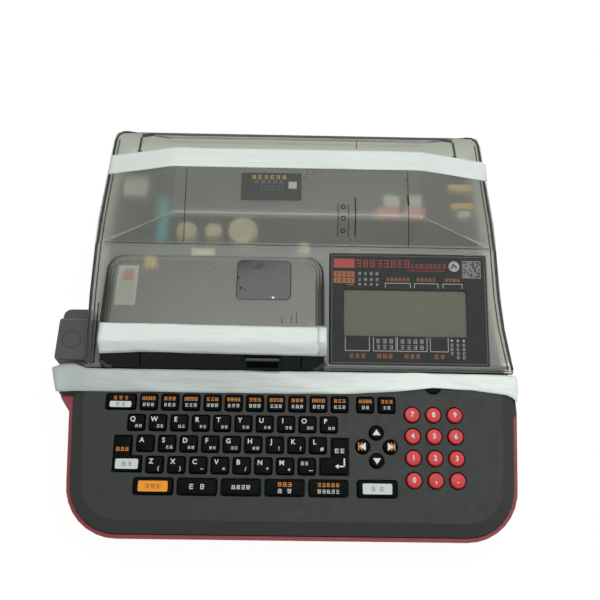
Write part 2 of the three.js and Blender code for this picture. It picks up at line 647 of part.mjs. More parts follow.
const gear = (teeth, phase, [x, y]) => prism(gearOutline(teeth, phase, x, y), GEAR_Z);
const idlerRise = Math.sqrt(
  ((GEAR_MODULE * (PLATEN_TEETH + IDLER_TEETH)) / 2) ** 2 - ((FEED_X - PLATEN_X) / 2) ** 2,
);
const idlerCentre = [middle([PLATEN_X, FEED_X]), ROLLER_Y + idlerRise];
const idlerAngle = THREE.MathUtils.radToDeg(Math.atan2(idlerRise, (FEED_X - PLATEN_X) / 2));
const idlerPhase = meshPhase(0, PLATEN_TEETH, IDLER_TEETH, idlerAngle);
const feedPhase = meshPhase(idlerPhase, IDLER_TEETH, PLATEN_TEETH, -idlerAngle);
const pinionPhase = meshPhase(0, PLATEN_TEETH, PINION_TEETH, PINION_ANGLE);
const ROLLER_PROFILE = [
  [0, 34.6], [2, 34.6], [2, 37], [4, 37], [4, 38.4], [ROLLER_R, 38.8], [ROLLER_R, 49.6],
  [2, 50], [2, 53], [0, 53],
];
const roller = (x, y) => turned(ROLLER_PROFILE, 20, x, y);

// base plate with the upright bracket that guides the cutter blade
function mechanismPlate() {
  const plate = block([-128, 14], [-20.6, 112], [BAY_FLOOR[1] + GAP, 34.2]);
  const bracket = block([CUTTER_X - 9, CUTTER_X + 9], [PATH_Y - 11, PATH_Y + 15], [34, 54]);
  return cut(
    join(plate, bracket),
    block([CUTTER_X - 20, CUTTER_X + 20], [PATH_Y - 5, PATH_Y + 5], [PATH_Z - 3.5, 60]),
    block([CUTTER_X - 1.4, CUTTER_X + 1.4], [PATH_Y, PATH_Y + 20], [36, 60]),
    cylinder(4, [30, 36], 12, ...pinionCentre()),
    cylinder(12, [30, 36], 16, -110, 92), cylinder(12, [30, 36], 16, -20, 92),
  );
}

add('mechanism_plate', mechanismPlate(), 'steel');
add('stepper_motor', cut(
  prism(roundedRect(28, 28, 5, 2, ...pinionCentre()), [12, 29.4]),
  cylinder(2.2, [20, 31], 12, ...pinionCentre()),
), 'steel');
add('motor_pinion', join(
  gear(PINION_TEETH, pinionPhase, pinionCentre()), cylinder(1.5, [21, 36], 10, ...pinionCentre()),
), 'nylon');
const PLATEN = [PLATEN_X, ROLLER_Y];
const FEED = [FEED_X, ROLLER_Y];
add('platen_roller', join(roller(...PLATEN), gear(PLATEN_TEETH, 0, PLATEN)), 'rubber');
add('idler_gear', gear(IDLER_TEETH, idlerPhase, idlerCentre), 'nylon');
add('feed_roller', join(roller(...FEED), gear(PLATEN_TEETH, feedPhase, FEED)), 'rubber');
add('pinch_roller', roller(FEED_X, 2 * PATH_Y - ROLLER_Y), 'rubber');
add('head_arm', join(
  block([-54, -12], [-3.6, -0.6], [40, 50]), cylinder(3.4, [34.6, 52], 12, -54, -2),
  block([-27, -17], [-4.1, -3.4], [38.9, 44]),
), 'grey');
add('head_release_lever', join(
  cylinder(5, [34.6, 56], 14, ...LEVER_PIVOT),
  prism(roundedRect(8, 38, 3.9, 3, LEVER_PIVOT[0], LEVER_PIVOT[1] + 14), [52, 58]),
), 'teal');
add('tube_guide', cut(
  block([9, 18], [PATH_Y - 7, PATH_Y + 7], [34.6, 50]),
  prism(disc(3.6, 14, PATH_Y, PATH_Z), [0, 30], 'X'),
), 'white');
add('cutter_blade', join(
  block([CUTTER_X - 0.8, CUTTER_X + 0.8], [PATH_Y + 5.4, PATH_Y + 22], [37.8, 52]),
  block([CUTTER_X - 3, CUTTER_X + 3], [PATH_Y + 22, PATH_Y + 26], [37, 53]),
), 'steel');

function ribbonCassette() {
  const body = prism(roundedRect(84, 46, 4, 2, -26, 39), [35, 58]);
  const wells = Object.values(SPOOLS).map(([x, y]) => cylinder(SPOOL_R + 1.2, [36.4, 70], 24, x, y));
  return cut(body, together(wells));
}

add('ribbon_cassette', ribbonCassette(), 'dark');
Object.entries(SPOOLS).forEach(([name, [x, y]]) => {
  const radius = name === 'supply_spool' ? SPOOL_R : 9;
  const profile = [[0, 37], [radius, 37], [radius, 55.6], [5, 55.6], [5, 59.4], [0, 59.4]];
  add(name, turned(profile, 20, x, y), 'black');
});

export default machine;
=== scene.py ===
# Desktop tube and label marking printer: materials, fine pieces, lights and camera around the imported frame.
import json
import math
import random

import bmesh
import bpy
from mathutils import Matrix, Vector
from mathutils.bvhtree import BVHTree


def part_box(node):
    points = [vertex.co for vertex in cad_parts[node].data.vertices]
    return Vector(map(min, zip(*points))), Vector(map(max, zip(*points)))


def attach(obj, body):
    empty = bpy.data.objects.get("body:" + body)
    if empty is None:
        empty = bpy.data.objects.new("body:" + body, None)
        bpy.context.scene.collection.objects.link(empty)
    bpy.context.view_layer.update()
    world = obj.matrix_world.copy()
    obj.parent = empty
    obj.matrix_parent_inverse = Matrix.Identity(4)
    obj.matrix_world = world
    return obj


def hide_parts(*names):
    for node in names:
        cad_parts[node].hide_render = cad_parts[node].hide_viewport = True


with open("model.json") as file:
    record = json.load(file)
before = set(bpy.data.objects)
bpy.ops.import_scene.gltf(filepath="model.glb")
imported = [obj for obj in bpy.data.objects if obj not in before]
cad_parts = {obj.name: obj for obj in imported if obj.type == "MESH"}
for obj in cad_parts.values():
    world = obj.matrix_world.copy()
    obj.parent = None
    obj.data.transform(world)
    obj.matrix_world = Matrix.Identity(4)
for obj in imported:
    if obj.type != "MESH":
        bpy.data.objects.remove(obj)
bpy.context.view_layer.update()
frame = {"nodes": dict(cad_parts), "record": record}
nodes = frame["nodes"]

# ------------ frames of reference
# Pieces are drawn in millimetres in the machine's own frame: x = 0 on its middle plane, y to the back, z up.
MM = 0.001
FRONT_Y = -138.6
case_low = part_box("lower_case")[0]
foot_low, foot_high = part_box("front_foot")
SHIFT = Vector(((foot_low.x + foot_high.x) / 2, case_low.y - FRONT_Y * MM, 0))
MACHINE = Matrix.Translation(SHIFT) @ Matrix.Scale(MM, 4)
TO_MACHINE = MACHINE.inverted()
# the key deck and the display panel have sloping planes of their own, with x across and v up the slope
DECK_ORIGIN, DECK_SLOPE = (0, -55, 46), math.radians(7)
PANEL_ORIGIN, PANEL_SLOPE = (0, -35, 51.5), math.radians(12.5)
DECK = MACHINE @ Matrix.Translation(DECK_ORIGIN) @ Matrix.Rotation(DECK_SLOPE, 4, "X")
PANEL = MACHINE @ Matrix.Translation(PANEL_ORIGIN) @ Matrix.Rotation(PANEL_SLOPE, 4, "X")


# ------------ materials
def srgb(*display):
    """A colour given as display values from 0 to 255."""
    shares = [value / 255 for value in display]
    return (*(s / 12.92 if s <= 0.04045 else ((s + 0.055) / 1.055) ** 2.4 for s in shares), 1)


GRAIN_SCALE = 2600
GRAIN_DEPTH = 0.06 * MM
STREAK_DEPTH = 0.05 * MM
CREASE_DEPTH = 2 * MM


def new_material(name):
    material = bpy.data.materials.new(name)
    material.use_nodes = True
    tree = material.node_tree
    return material, tree, tree.nodes["Principled BSDF"]


def object_noise(tree, scale, detail=3.0, stretch=(1, 1, 1), slant=0.0):
    """Noise in the object's own coordinates; stretch and slant draw it out into streaks."""
    coords = tree.nodes.new("ShaderNodeTexCoord")
    mapping = tree.nodes.new("ShaderNodeMapping")
    mapping.inputs["Scale"].default_value = stretch
    mapping.inputs["Rotation"].default_value = (0, 0, slant)
    noise = tree.nodes.new("ShaderNodeTexNoise")
    noise.inputs["Scale"].default_value = scale
    noise.inputs["Detail"].default_value = detail
    tree.links.new(coords.outputs["Object"], mapping.inputs["Vector"])
    tree.links.new(mapping.outputs["Vector"], noise.inputs["Vector"])
    return noise


def map_range(tree, value, start, end, low=0.0, high=1.0):
    """A socket that runs from low to high while value goes from start to end."""
    node = tree.nodes.new("ShaderNodeMapRange")
    for socket, number in (("From Min", start), ("From Max", end), ("To Min", low), ("To Max", high)):
        node.inputs[socket].default_value = number
    tree.links.new(value, node.inputs["Value"])
    return node.outputs["Result"]


def vary_roughness(tree, shader, noise, low, high):
    """Roughness that follows the middle part of a noise from low to high."""
    tree.links.new(map_range(tree, noise.outputs["Fac"], 0.3, 0.7, low, high), shader.inputs["Roughness"])


def mix_base(tree, shader, factor, second, first=None):
    """Base colour that goes with factor from first, or from what it is already, to second."""
    mix = tree.nodes.new("ShaderNodeMix")
    mix.data_type = "RGBA"
    mix.inputs["B"].default_value = second
    if first:
        mix.inputs["A"].default_value = first
    else:
        tree.links.new(shader.inputs["Base Color"].links[0].from_socket, mix.inputs["A"])
    tree.links.new(factor, mix.inputs["Factor"])
    tree.links.new(mix.outputs["Result"], shader.inputs["Base Color"])


def tint(tree, shader, colour, noise, spread):
    """Base colour that drifts a little darker and lighter."""
    darker = (*(c * (1 - spread) for c in colour[:3]), 1)
    lighter = (*(min(c * (1 + spread), 1) for c in colour[:3]), 1)
    mix_base(tree, shader, noise.outputs["Fac"], lighter, darker)


def painted_shade_fade(tree, shader, colour):
    """Leads the base colour over into another one, from left to right: painted shade that lifts into a lit
    tone.
    """
    place = tree.nodes.new("ShaderNodeTexCoord")
    split = tree.nodes.new("ShaderNodeSeparateXYZ")
    tree.links.new(place.outputs["Object"], split.inputs["Vector"])
    mix_base(tree, shader, map_range(tree, split.outputs["X"], -40 * MM, 80 * MM), colour)


def add_bump(tree, shader, noise, strength, distance):
    bump = tree.nodes.new("ShaderNodeBump")
    bump.inputs["Strength"].default_value = strength
    bump.inputs["Distance"].default_value = distance
    tree.links.new(noise.outputs["Fac"], bump.inputs["Height"])
    tree.links.new(bump.outputs["Normal"], shader.inputs["Normal"])


def moulded(name, colour, roughness, grain, spread=0.08, specular=0.4):
    """Moulded plastic: fine spark-eroded grain, slight drift of colour and gloss."""
    material, tree, shader = new_material(name)
    tint(tree, shader, colour, object_noise(tree, 45), spread)
    vary_roughness(tree, shader, object_noise(tree, 160), roughness - 0.06, roughness + 0.06)
    shader.inputs["Specular IOR Level"].default_value = specular
    add_bump(tree, shader, object_noise(tree, GRAIN_SCALE, 2), grain, GRAIN_DEPTH)
    return material


def metal(name, colour):
    """Brushed sheet metal: streaks along x."""
    material, tree, shader = new_material(name)
    brushing = object_noise(tree, 1, 2, (20, 900, 900))
    tint(tree, shader, colour, brushing, 0.15)
    vary_roughness(tree, shader, brushing, 0.25, 0.47)
    shader.inputs["Metallic"].default_value = 1
    add_bump(tree, shader, brushing, 0.15, STREAK_DEPTH)
    return material


def smoked(name, colour, roughness, clear):
    """Smoked polycarbonate: tinted and see-through, its matt inside blurring what lies behind it."""
    material, tree, shader = new_material(name)
    tint(tree, shader, colour, object_noise(tree, 12), 0.03)
    vary_roughness(tree, shader, object_noise(tree, 30, 6), roughness - 0.03, roughness + 0.03)
    shader.inputs["Transmission Weight"].default_value = clear
    shader.inputs["IOR"].default_value = 1.45
    return material


def printed(name, colour):
    """Legend ink: flat, slightly worn."""
    material, tree, shader = new_material(name)
    tint(tree, shader, colour, object_noise(tree, 700), 0.06)
    shader.inputs["Roughness"].default_value = 0.5
    shader.inputs["Specular IOR Level"].default_value = 0.3
    return material


def tape_film(name, colour, drift, slant, lit_right_colour=None):
    """White adhesive film: waxy, with long slanting creases, and perhaps painted shade that fades from its
    left into a lighter tone at its right end.
    """
    material, tree, shader = new_material(name)
    tint(tree, shader, colour, object_noise(tree, 26), drift)
    if lit_right_colour:
        painted_shade_fade(tree, shader, lit_right_colour)
    vary_roughness(tree, shader, object_noise(tree, 120), 0.32, 0.48)
    shader.inputs["Subsurface Weight"].default_value = 0.15
    shader.inputs["Subsurface Radius"].default_value = (MM, MM, MM)
    shader.inputs["Subsurface Scale"].default_value = 0.5
    add_bump(tree, shader, object_noise(tree, 1, 3, (16, 150, 60), slant), 0.8, CREASE_DEPTH)
    return material


# colour, roughness, strength of the grain, drift of the colour, specular level
MOULDED = {
    "deck": ((48, 51, 49), 0.55, 0.1, 0.08, 0.3),
    "key": ((9, 11, 12), 0.42, 0.06, 0.05, 0.04),
    "well": ((8, 8, 9), 0.7, 0.1),
    "red_key": ((196, 42, 46), 0.4, 0.1, 0.04),
    "shell": ((136, 52, 56), 0.45, 0.2),
    "exit": ((77, 79, 77), 0.5, 0.12, 0.08, 0.3),
    # latch: painted highlight along the latch's upper lip
    "latch": ((84, 88, 86), 0.4, 0.1, 0.08, 0.3),
    "front": ((21, 24, 25), 0.45, 0.1, 0.08, 0.2),
    # gap: dark joints, and painted shade in the latch's recess
    "gap_and_recess_shade": ((4, 5, 5), 0.9, 0.0, 0.08, 0.05),
    "shade_deep": ((50, 52, 49), 0.5, 0.0, 0.08, 0.1),
    "shade": ((72, 74, 70), 0.5, 0.0, 0.08, 0.1),
    "shade_light": ((90, 92, 87), 0.5, 0.0, 0.08, 0.1),
    "panel": ((48, 51, 50), 0.5, 0.03, 0.08, 0.12),
    "glass": ((98, 102, 88), 0.4, 0.0, 0.03, 0.12),
    # seam: pale print, and painted highlights along the cover's creases and edges
    "seam": ((158, 162, 152), 0.4, 0.0, 0.05),
    "edge": ((40, 42, 41), 0.3, 0.0, 0.03),
    "rubber": ((32, 32, 33), 0.8, 0.4),
    "board": ((24, 84, 50), 0.5, 0.2),
    "plate": ((58, 61, 60), 0.5, 0.2),
    "nylon": ((226, 222, 208), 0.5, 0.1),
    "teal": ((60, 190, 208), 0.4, 0.1),
    "inner": ((44, 46, 46), 0.6, 0.3),
    "cream": ((248, 234, 196), 0.55, 0.1),
    "amber": ((250, 200, 104), 0.5, 0.1),
    "pink": ((244, 150, 136), 0.5, 0.1),
    "paper": ((226, 228, 220), 0.6, 0.05, 0.03),
    "blush": ((222, 152, 142), 0.6, 0.05, 0.03),
}
# colour, roughness, share of light that passes
SMOKED = {
    "smoke": ((225, 228, 218), 0.3, 0.88),
    # a darker copy of the smoke: painted shade for the walls of the raised area
    "smoke_side_shaded": ((150, 154, 146), 0.3, 0.84),
    "window": ((84, 90, 86), 0.1, 0.75),
}
PRINTED = {
    "white_ink": (214, 218, 214), "orange_ink": (222, 140, 50), "red_ink": (150, 54, 46),
    # grey ink prints signs and lines, and also paints the highlights along the cover's lip and the exit
    # housing's edges
    "gold_ink": (190, 166, 96), "grey_ink_and_highlight": (113, 116, 112), "brown_ink": (150, 92, 34),
    "dark_ink": (34, 36, 35), "panel_white": (152, 154, 148), "panel_orange": (158, 96, 54),
    "label": (66, 70, 67), "badge": (158, 66, 60), "white_pill": (198, 206, 205),
    "orange_pill": (234, 150, 34),
}
MATERIAL = {name: moulded(name, srgb(*colour), *finish) for name, (colour, *finish) in MOULDED.items()}
MATERIAL.update({name: smoked(name, srgb(*colour), *finish) for name, (colour, *finish) in SMOKED.items()})
MATERIAL.update({name: printed(name, srgb(*colour)) for name, colour in PRINTED.items()})
MATERIAL["steel"] = metal("steel", srgb(150, 152, 154))
MATERIAL["tape"] = tape_film("tape", srgb(220, 229, 224), 0.08, 0.1)
# the thin front tape: painted shade darkens its left part and fades into a lit tone at its right end
MATERIAL["tape_thin_painted_shade"] = tape_film("tape_thin_painted_shade", srgb(184, 193, 190), 0.16, 0.3, srgb(230, 240, 233))


# ------------ mesh helpers
INK_THICK = 0.04
# in a refined CAD shape: points that merge, edges that vanish, and facets that count as one face
MERGE = 0.002 * MM
SLIVER = 0.01 * MM
FLAT_ANGLE = math.radians(0.8)


def meshes(count):
    return [bmesh.new() for _ in range(count)]


def arc(cx, cy, radius, start, end, steps):
    """Points along an arc; start and end are in degrees."""
    turns = [math.radians(start + (end - start) * k / steps) for k in range(steps + 1)]
    return [(cx + radius * math.cos(a), cy + radius * math.sin(a)) for a in turns]


def rounded(width, depth, radius, cx=0.0, cy=0.0, steps=5):
    hx, hy = width / 2 - radius, depth / 2 - radius
    corners = [(hx, hy), (-hx, hy), (-hx, -hy), (hx, -hy)]
    points = []
    for i, (x, y) in enumerate(corners):
        points += arc(cx + x, cy + y, radius, 90 * i, 90 * i + 90, steps)
    return points


def circle(radius, cx=0.0, cy=0.0, sides=40):
    return arc(cx, cy, radius, 0, 360, sides)[:-1]


def inset(points, distance):
    """Moves every side of a counter-clockwise outline inwards."""
    moved = []
    for i, (x, y) in enumerate(points):
        before = (Vector((x, y)) - Vector(points[i - 1])).normalized()
        after = (Vector(points[(i + 1) % len(points)]) - Vector((x, y))).normalized()
        normal = Vector((-before.y - after.y, before.x + after.x)).normalized()
        reach = distance / max(normal.dot(Vector((-before.y, before.x))), 0.2)
        moved.append((x + normal.x * reach, y + normal.y * reach))
    return moved


CORNER_TURNS = [math.radians(22.5 * k) for k in range(5)]


def round_corners(points, radius):
    """Rounds the convex and concave corners of a right-angled outline."""
    out = []
    for i, point in enumerate(points):
        corner = Vector(point)
        back = (Vector(points[i - 1]) - corner).normalized()
        ahead = (Vector(points[(i + 1) % len(points)]) - corner).normalized()
        centre = corner + (back + ahead) * radius
        for turn in CORNER_TURNS:
            out.append(tuple(centre - ahead * radius * math.cos(turn) - back * radius * math.sin(turn)))
    return out


def stack(bm, outline, levels):
    """A closed solid from one outline repeated at (height, inset) levels."""
    rings = [[bm.verts.new((x, y, z)) for x, y in inset(outline, cut)] for z, cut in levels]
    count = len(outline)
    for lower, upper in zip(rings, rings[1:]):
        for i in range(count):
            j = (i + 1) % count
            bm.faces.new((lower[i], lower[j], upper[j], upper[i]))
    bm.faces.new(list(reversed(rings[0])))
    bm.faces.new(rings[-1])


def flat(bm, outline, z, thick=INK_THICK):
    """A thin sheet of any outline, centred on a height."""
    stack(bm, outline, [(z - thick / 2, 0), (z + thick / 2, 0)])


def soft_top(low, high, edge):
    """Levels of a cap whose top edge is rounded by edge."""
    turns = [(math.sin(turn), 1 - math.cos(turn)) for turn in CORNER_TURNS]
    return [(low, 0)] + [(high - edge + edge * up, edge * inwards) for up, inwards in turns]


def slab(bm, xs, ys, zs):
    """A block given by its limits along each axis."""
    corners = [(xs[0], ys[0]), (xs[1], ys[0]), (xs[1], ys[1]), (xs[0], ys[1])]
    stack(bm, corners, [(zs[0], 0), (zs[1], 0)])


def piece(name, bm, material, body, place=MACHINE, smooth=35):
    """Turns a mesh into a piece that rides on a body; edges sharper than smooth degrees stay sharp."""
    bm.transform(place)
    bmesh.ops.recalc_face_normals(bm, faces=bm.faces)
    mesh = bpy.data.meshes.new(name)
    bm.to_mesh(mesh)
    bm.free()
    mesh.polygons.foreach_set("use_smooth", [True] * len(mesh.polygons))
    mesh.set_sharp_from_angle(angle=math.radians(smooth))
    obj = bpy.data.objects.new(name, mesh)
    bpy.context.scene.collection.objects.link(obj)
    mesh.materials.append(MATERIAL[material])
    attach(obj, body)
    return obj


record = frame["record"]
BODY_OF = {node: body for body, members in record["behaviour"]["bodies"].items() for node in members}


def fitted(name, bm, material, node, place=MACHINE, smooth=35):
    """A piece that belongs to a CAD node: it rides on its body."""
    return piece(name, bm, material, BODY_OF[node], place, smooth)


def refined(node, material, bevel=0.4, segments=2, corner=25, smooth=35, crease=None):
    """
    The CAD node's own shape with its facets merged and edges sharper than corner degrees rounded. A crease is
    a place and a larger radius for the edges in it.
    """
    bm = bmesh.new()
    bm.from_mesh(nodes[node].data)
    bmesh.ops.remove_doubles(bm, verts=bm.verts, dist=MERGE)
    bmesh.ops.dissolve_degenerate(bm, dist=SLIVER, edges=bm.edges)
    bmesh.ops.dissolve_limit(bm, angle_limit=FLAT_ANGLE, verts=bm.verts, edges=bm.edges)
    if crease:
        inside, radius = crease
        chosen = [e for e in bm.edges if all(inside(*(TO_MACHINE @ vert.co)) for vert in e.verts)]
        bmesh.ops.bevel(bm, geom=chosen, offset=radius * MM, segments=4, profile=0.5, affect="EDGES")
    edges = [e for e in bm.edges if len(e.link_faces) == 2 and e.calc_face_angle(0) > math.radians(corner)]
    bmesh.ops.bevel(
        bm, geom=edges, offset=bevel * MM, segments=segments, profile=0.5, affect="EDGES", clamp_overlap=True,
    )
    obj = fitted(node + "_fine", bm, material, node, Matrix.Identity(4), smooth)
    obj.modifiers.new("even_shading", "WEIGHTED_NORMAL").keep_sharp = True
    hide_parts(node)
    return obj


def tint_faces(obj, material, chosen):
    """Gives the faces picked by place (machine frame) and direction a material of their own."""
    obj.data.materials.append(MATERIAL[material])
    for face in obj.data.polygons:
        if chosen(*(TO_MACHINE @ face.center), face.normal):
            face.material_index = len(obj.data.materials) - 1


def repaint(node, material):
    """Keeps the CAD node and gives it a finished material."""
    obj = nodes[node]
    obj.data.materials.clear()
    obj.data.materials.append(MATERIAL[material])


# ------------ legends
random_marks = random.Random(11)
STROKE_GAIN = 0.018


def letters(bm, text, size, x, y, z):
    """Flat lettering, centred on a point."""
    curve = bpy.data.curves.new("lettering", "FONT")
    curve.body = text
    curve.size = size
    curve.extrude = INK_THICK / 2
    curve.offset = size * STROKE_GAIN
    curve.align_x = "CENTER"
    curve.align_y = "CENTER"
    curve.resolution_u = 3
    holder = bpy.data.objects.new("lettering", curve)
    bpy.context.scene.collection.objects.link(holder)
    bpy.context.view_layer.update()
    depsgraph = bpy.context.evaluated_depsgraph_get()
    mesh = bpy.data.meshes.new_from_object(holder.evaluated_get(depsgraph))
    mesh.transform(Matrix.Translation((x, y, z)))
    bm.from_mesh(mesh)
    bpy.data.objects.remove(holder)
    bpy.data.curves.remove(curve)
    bpy.data.meshes.remove(mesh)


def bar(bm, x, y, width, height, z):
    """A flat rectangle centred on a point."""
    left, right, low, high = x - width / 2, x + width / 2, y - height / 2, y + height / 2
    flat(bm, [(left, low), (right, low), (right, high), (left, high)], z)


def stroke(bm, start, end, width, z):
    """A straight stroke between two points."""
    run = Vector(end) - Vector(start)
    side = Vector((-run.y, run.x)).normalized() * width / 2
    corners = [Vector(start) - side, Vector(end) - side, Vector(end) + side, Vector(start) + side]
    flat(bm, [tuple(c) for c in corners], z)


def mark(bm, x, y, size, z, tall=1.0):
    """A made-up sign of a few strokes that spells nothing."""
    weight = size * 0.13
    for level in (0.36, 0, -0.36):
        bar(bm, x, y + size * tall * level, size * random_marks.uniform(0.55, 0.9), weight, z)
    for side in (-1, 1):
        if random_marks.random() < 0.7:
            bar(bm, x + side * size * 0.25, y, weight, size * tall * random_marks.uniform(0.6, 0.95), z)


def mark_row(bm, x, y, count, size, pitch, z, tall=1.0):
    for k in range(count):
        mark(bm, x + (k - (count - 1) / 2) * pitch, y, size, z, tall)


def triangle(bm, x, y, size, turn, z):
    """An arrow head that points along y until it is turned by turn degrees."""
    corners = [(0, size * 0.55), (-size * 0.72, -size * 0.5), (size * 0.72, -size * 0.5)]
    angle = math.radians(turn)
    outline = [
        (x + a * math.cos(angle) - b * math.sin(angle), y + a * math.sin(angle) + b * math.cos(angle))
        for a, b in corners
    ]
    flat(bm, outline, z)


# ------------ keys
# heights are above the deck's plane; ROWS are the rows of keys down the slope, from the function row
PITCH = 13.8
ROWS = [0, -13.33, -26.67, -40, -53.33]
CAP = (10.4, 9.8)
CAP_FOOT = -3.0
RISE = 1.8
FLOOR = -4.4
WEB_TOP = -2.8
WEB_REACH = (6, 5.6)
INK = RISE + 0.015
ON_PILL = INK + 0.03
LETTER_ROWS = {
    "upper_letter_keys": (ROWS[1], -101.45, "QWERTYUIOP"),
    "middle_letter_keys": (ROWS[2], -94.63, "ASDFGHJKL"),
    "lower_letter_keys": (ROWS[3], -87.85, "ZXCVBNM"),
}
CORNER_SIGNS = dict(zip("JKLZXCVBNM", "!?#()~=/*+"))


def key_caps(name, centres, row_v):
    """A strip of keys on its web, under the deck."""
    bm = bmesh.new()
    for x in centres:
        stack(bm, rounded(*CAP, 1.3, x, row_v), soft_top(CAP_FOOT, RISE, 0.7))
    reach_x, reach_v = WEB_REACH
    xs = (min(centres) - reach_x, max(centres) + reach_x)
    slab(bm, xs, (row_v - reach_v, row_v + reach_v), (FLOOR, WEB_TOP))
    obj = fitted(name + "_caps", bm, "key", name, DECK)
    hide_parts(name)


def ink(name, bm, material, body):
    """A legend on the deck's keys."""
    piece(name, bm, material, body, DECK)


def letter_rows():
    for name, (v, first, legend) in LETTER_ROWS.items():
        count = len(legend) + (name == "lower_letter_keys")
        centres = [first + PITCH * i for i in range(count)]
        key_caps(name, centres, v)
        white = bmesh.new()
        for x, sign in zip(centres, legend):
            letters(white, sign, 4.3, x - 2.2, v + 1.9, INK)
            if sign in CORNER_SIGNS:
                letters(white, CORNER_SIGNS[sign], 3.4, x + 2.6, v - 2.3, INK)
            elif sign != "A":
                mark_row(white, x + 1.7, v - 2.4, 2, 2.1, 2.4, INK)
        if name == "lower_letter_keys":
            mark_row(white, centres[-1] - 1.6, v + 1.8, 2, 2.4, 2.6, INK)
            bar(white, centres[-1] + 2.6, v - 2.6, 2.4, 0.4, INK)
        ink(name + "_legend", white, "white_ink", name)


def function_row():
    name, v = "function_keys", ROWS[0]
    centres = [-94.4 + PITCH * i for i in range(10)] + [46.5, 60.5]
    key_caps(name, centres, v)
    white, orange = meshes(2)
    for i, x in enumerate(centres):
        count, pitch = (3, 2.7) if i % 2 else (4, 2.2)
        mark_row(orange, x, v + 2.1, count, 2.5, pitch, INK)
        mark_row(white, x, v - 1.9, 3 if i < 10 else 2, 2.4, 2.7, INK)
    ink("function_legend_white", white, "white_ink", name)
    ink("function_legend_orange", orange, "orange_ink", name)


WIDE_NAMES = ("shift_key", "input_key", "space_key", "convert_key", "block_key")
WIDE = {name: -87.9 + 2 * PITCH * k for k, name in enumerate(WIDE_NAMES)}
CONFIRM_X = 53.4
POWER_X, POWER_PILL_V = -112.4, -1.9


def single_cap(name, outline, material="key", edge=0.7):
    """The cap of a key that moves alone."""
    bm = bmesh.new()
    stack(bm, outline, soft_top(FLOOR, RISE, edge))
    obj = fitted(name + "_cap", bm, material, name, DECK)
    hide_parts(name)


def pill(name, x, v, width, height, material):
    """A coloured field printed on a cap."""
    bm = bmesh.new()
    stack(bm, rounded(width, height, 0.9, x, v), [(RISE - 0.02, 0), (RISE + 0.03, 0)])
    ink(name + "_pill", bm, material, name)


def wide_keys():
    top, bottom = ROWS[0], ROWS[4]
    for name, x in WIDE.items():
        single_cap(name, rounded(24.2, 9.7, 1.4, x, bottom))
    single_cap("confirm_key", rounded(24.6, 10, 1.4, CONFIRM_X, bottom))
    single_cap("power_key", rounded(18.9, 9.4, 1.4, POWER_X, top))
    pill("shift_key", WIDE["shift_key"], bottom, 18.6, 6.6, "orange_pill")
    pill("confirm_key", CONFIRM_X, bottom, 18.6, 6.6, "white_pill")
    pill("power_key", POWER_X, POWER_PILL_V, 14, 3.9, "white_pill")
    # name, ink, place, count of signs, their size and pitch, height
    marks = [
        ("shift_mark", "brown_ink", WIDE["shift_key"], bottom, 3, 3.2, 3.6, ON_PILL),
        ("confirm_mark", "grey_ink_and_highlight", CONFIRM_X, bottom, 2, 3.2, 5.6, ON_PILL),
        ("power_mark", "grey_ink_and_highlight", POWER_X, POWER_PILL_V, 2, 2.4, 3.6, ON_PILL),
        ("power_mark_top", "orange_ink", POWER_X, top + 2.3, 3, 2.6, 3.6, INK),
        ("input_mark", "white_ink", WIDE["input_key"], bottom, 2, 3.6, 6.8, INK),
        ("space_mark", "white_ink", WIDE["space_key"], bottom, 4, 2.9, 3.1, INK),
        ("convert_mark", "white_ink", WIDE["convert_key"], bottom - 2, 2, 3, 6, INK),
        ("convert_mark_top", "orange_ink", WIDE["convert_key"], bottom + 2, 3, 3, 3.2, INK),
        ("block_mark", "white_ink", WIDE["block_key"], bottom - 2, 5, 2.7, 2.9, INK),
        ("block_mark_top", "orange_ink", WIDE["block_key"], bottom + 2, 5, 2.7, 2.9, INK),
    ]
    for name, material, x, v, count, size, pitch, height in marks:
        bm = bmesh.new()
        mark_row(bm, x, v, count, size, pitch, height)
        ink(name, bm, material, name.split("_")[0] + "_key")


L_KEYS = {
    "print_key": [
        (-115, -45.1), (-95.8, -45.1), (-95.8, -34.2), (-102.8, -34.2), (-102.8, -21.4), (-115, -21.4),
    ],
    "enter_key": [(16.5, -45.5), (35.8, -45.5), (35.8, -21.4), (23.8, -21.4), (23.8, -34.2), (16.5, -34.2)],
}


def l_keys():
    for name, outline in L_KEYS.items():
        single_cap(name, round_corners(inset(outline, 0.8), 1.2))
    pill_x, pill_v = -105.4, -39.8
    pill("print_key", pill_x, pill_v, 14.4, 6.3, "white_pill")
    grey, orange, white = meshes(3)
    mark_row(grey, pill_x, pill_v, 2, 3, 3.6, ON_PILL)
    mark_row(orange, -108.8, -30.6, 3, 2.8, 2.9, INK)
    mark_row(white, 29.6, -30, 2, 3.2, 3.6, INK)
    # return arrow: upright, foot and head
    bar(white, 32.6, -37.4, 0.9, 5.4, INK)
    bar(white, 30.6, -39.7, 4.6, 0.9, INK)
    triangle(white, 27.8, -39.7, 2.1, 90, INK)
    ink("print_mark", grey, "grey_ink_and_highlight", "print_key")
    ink("print_mark_top", orange, "orange_ink", "print_key")
    ink("enter_mark", white, "white_ink", "enter_key")


NUMBER_X = [76.95 + 13.9 * k for k in range(3)]
NUMBER_V = [-6.04 - 13.89 * k for k in range(4)]
NUMBERS = ["789", "456", "123", "0,."]
KEY_NAME = {",": "key_comma", ".": "key_point"}


def number_keys():
    for v, row in zip(NUMBER_V, NUMBERS):
        for x, sign in zip(NUMBER_X, row):
            name = KEY_NAME.get(sign, "key_" + sign)
            single_cap(name, circle(4.75, x, v), "red_key", 0.8)
            bm = bmesh.new()
            size, lift = (4.6, 0) if sign.isdigit() else (6.5, 0.6)
            letters(bm, sign, size, x, v + lift, INK)
            ink(name + "_legend", bm, "white_ink", name)


ARROW_CENTRE, ARROW_REACH = (53.44, -26.96), 8.88
ARROWS = {
    "arrow_up": (0, 1, 0), "arrow_down": (0, -1, 180), "arrow_left": (-1, 0, 90), "arrow_right": (1, 0, -90),
}


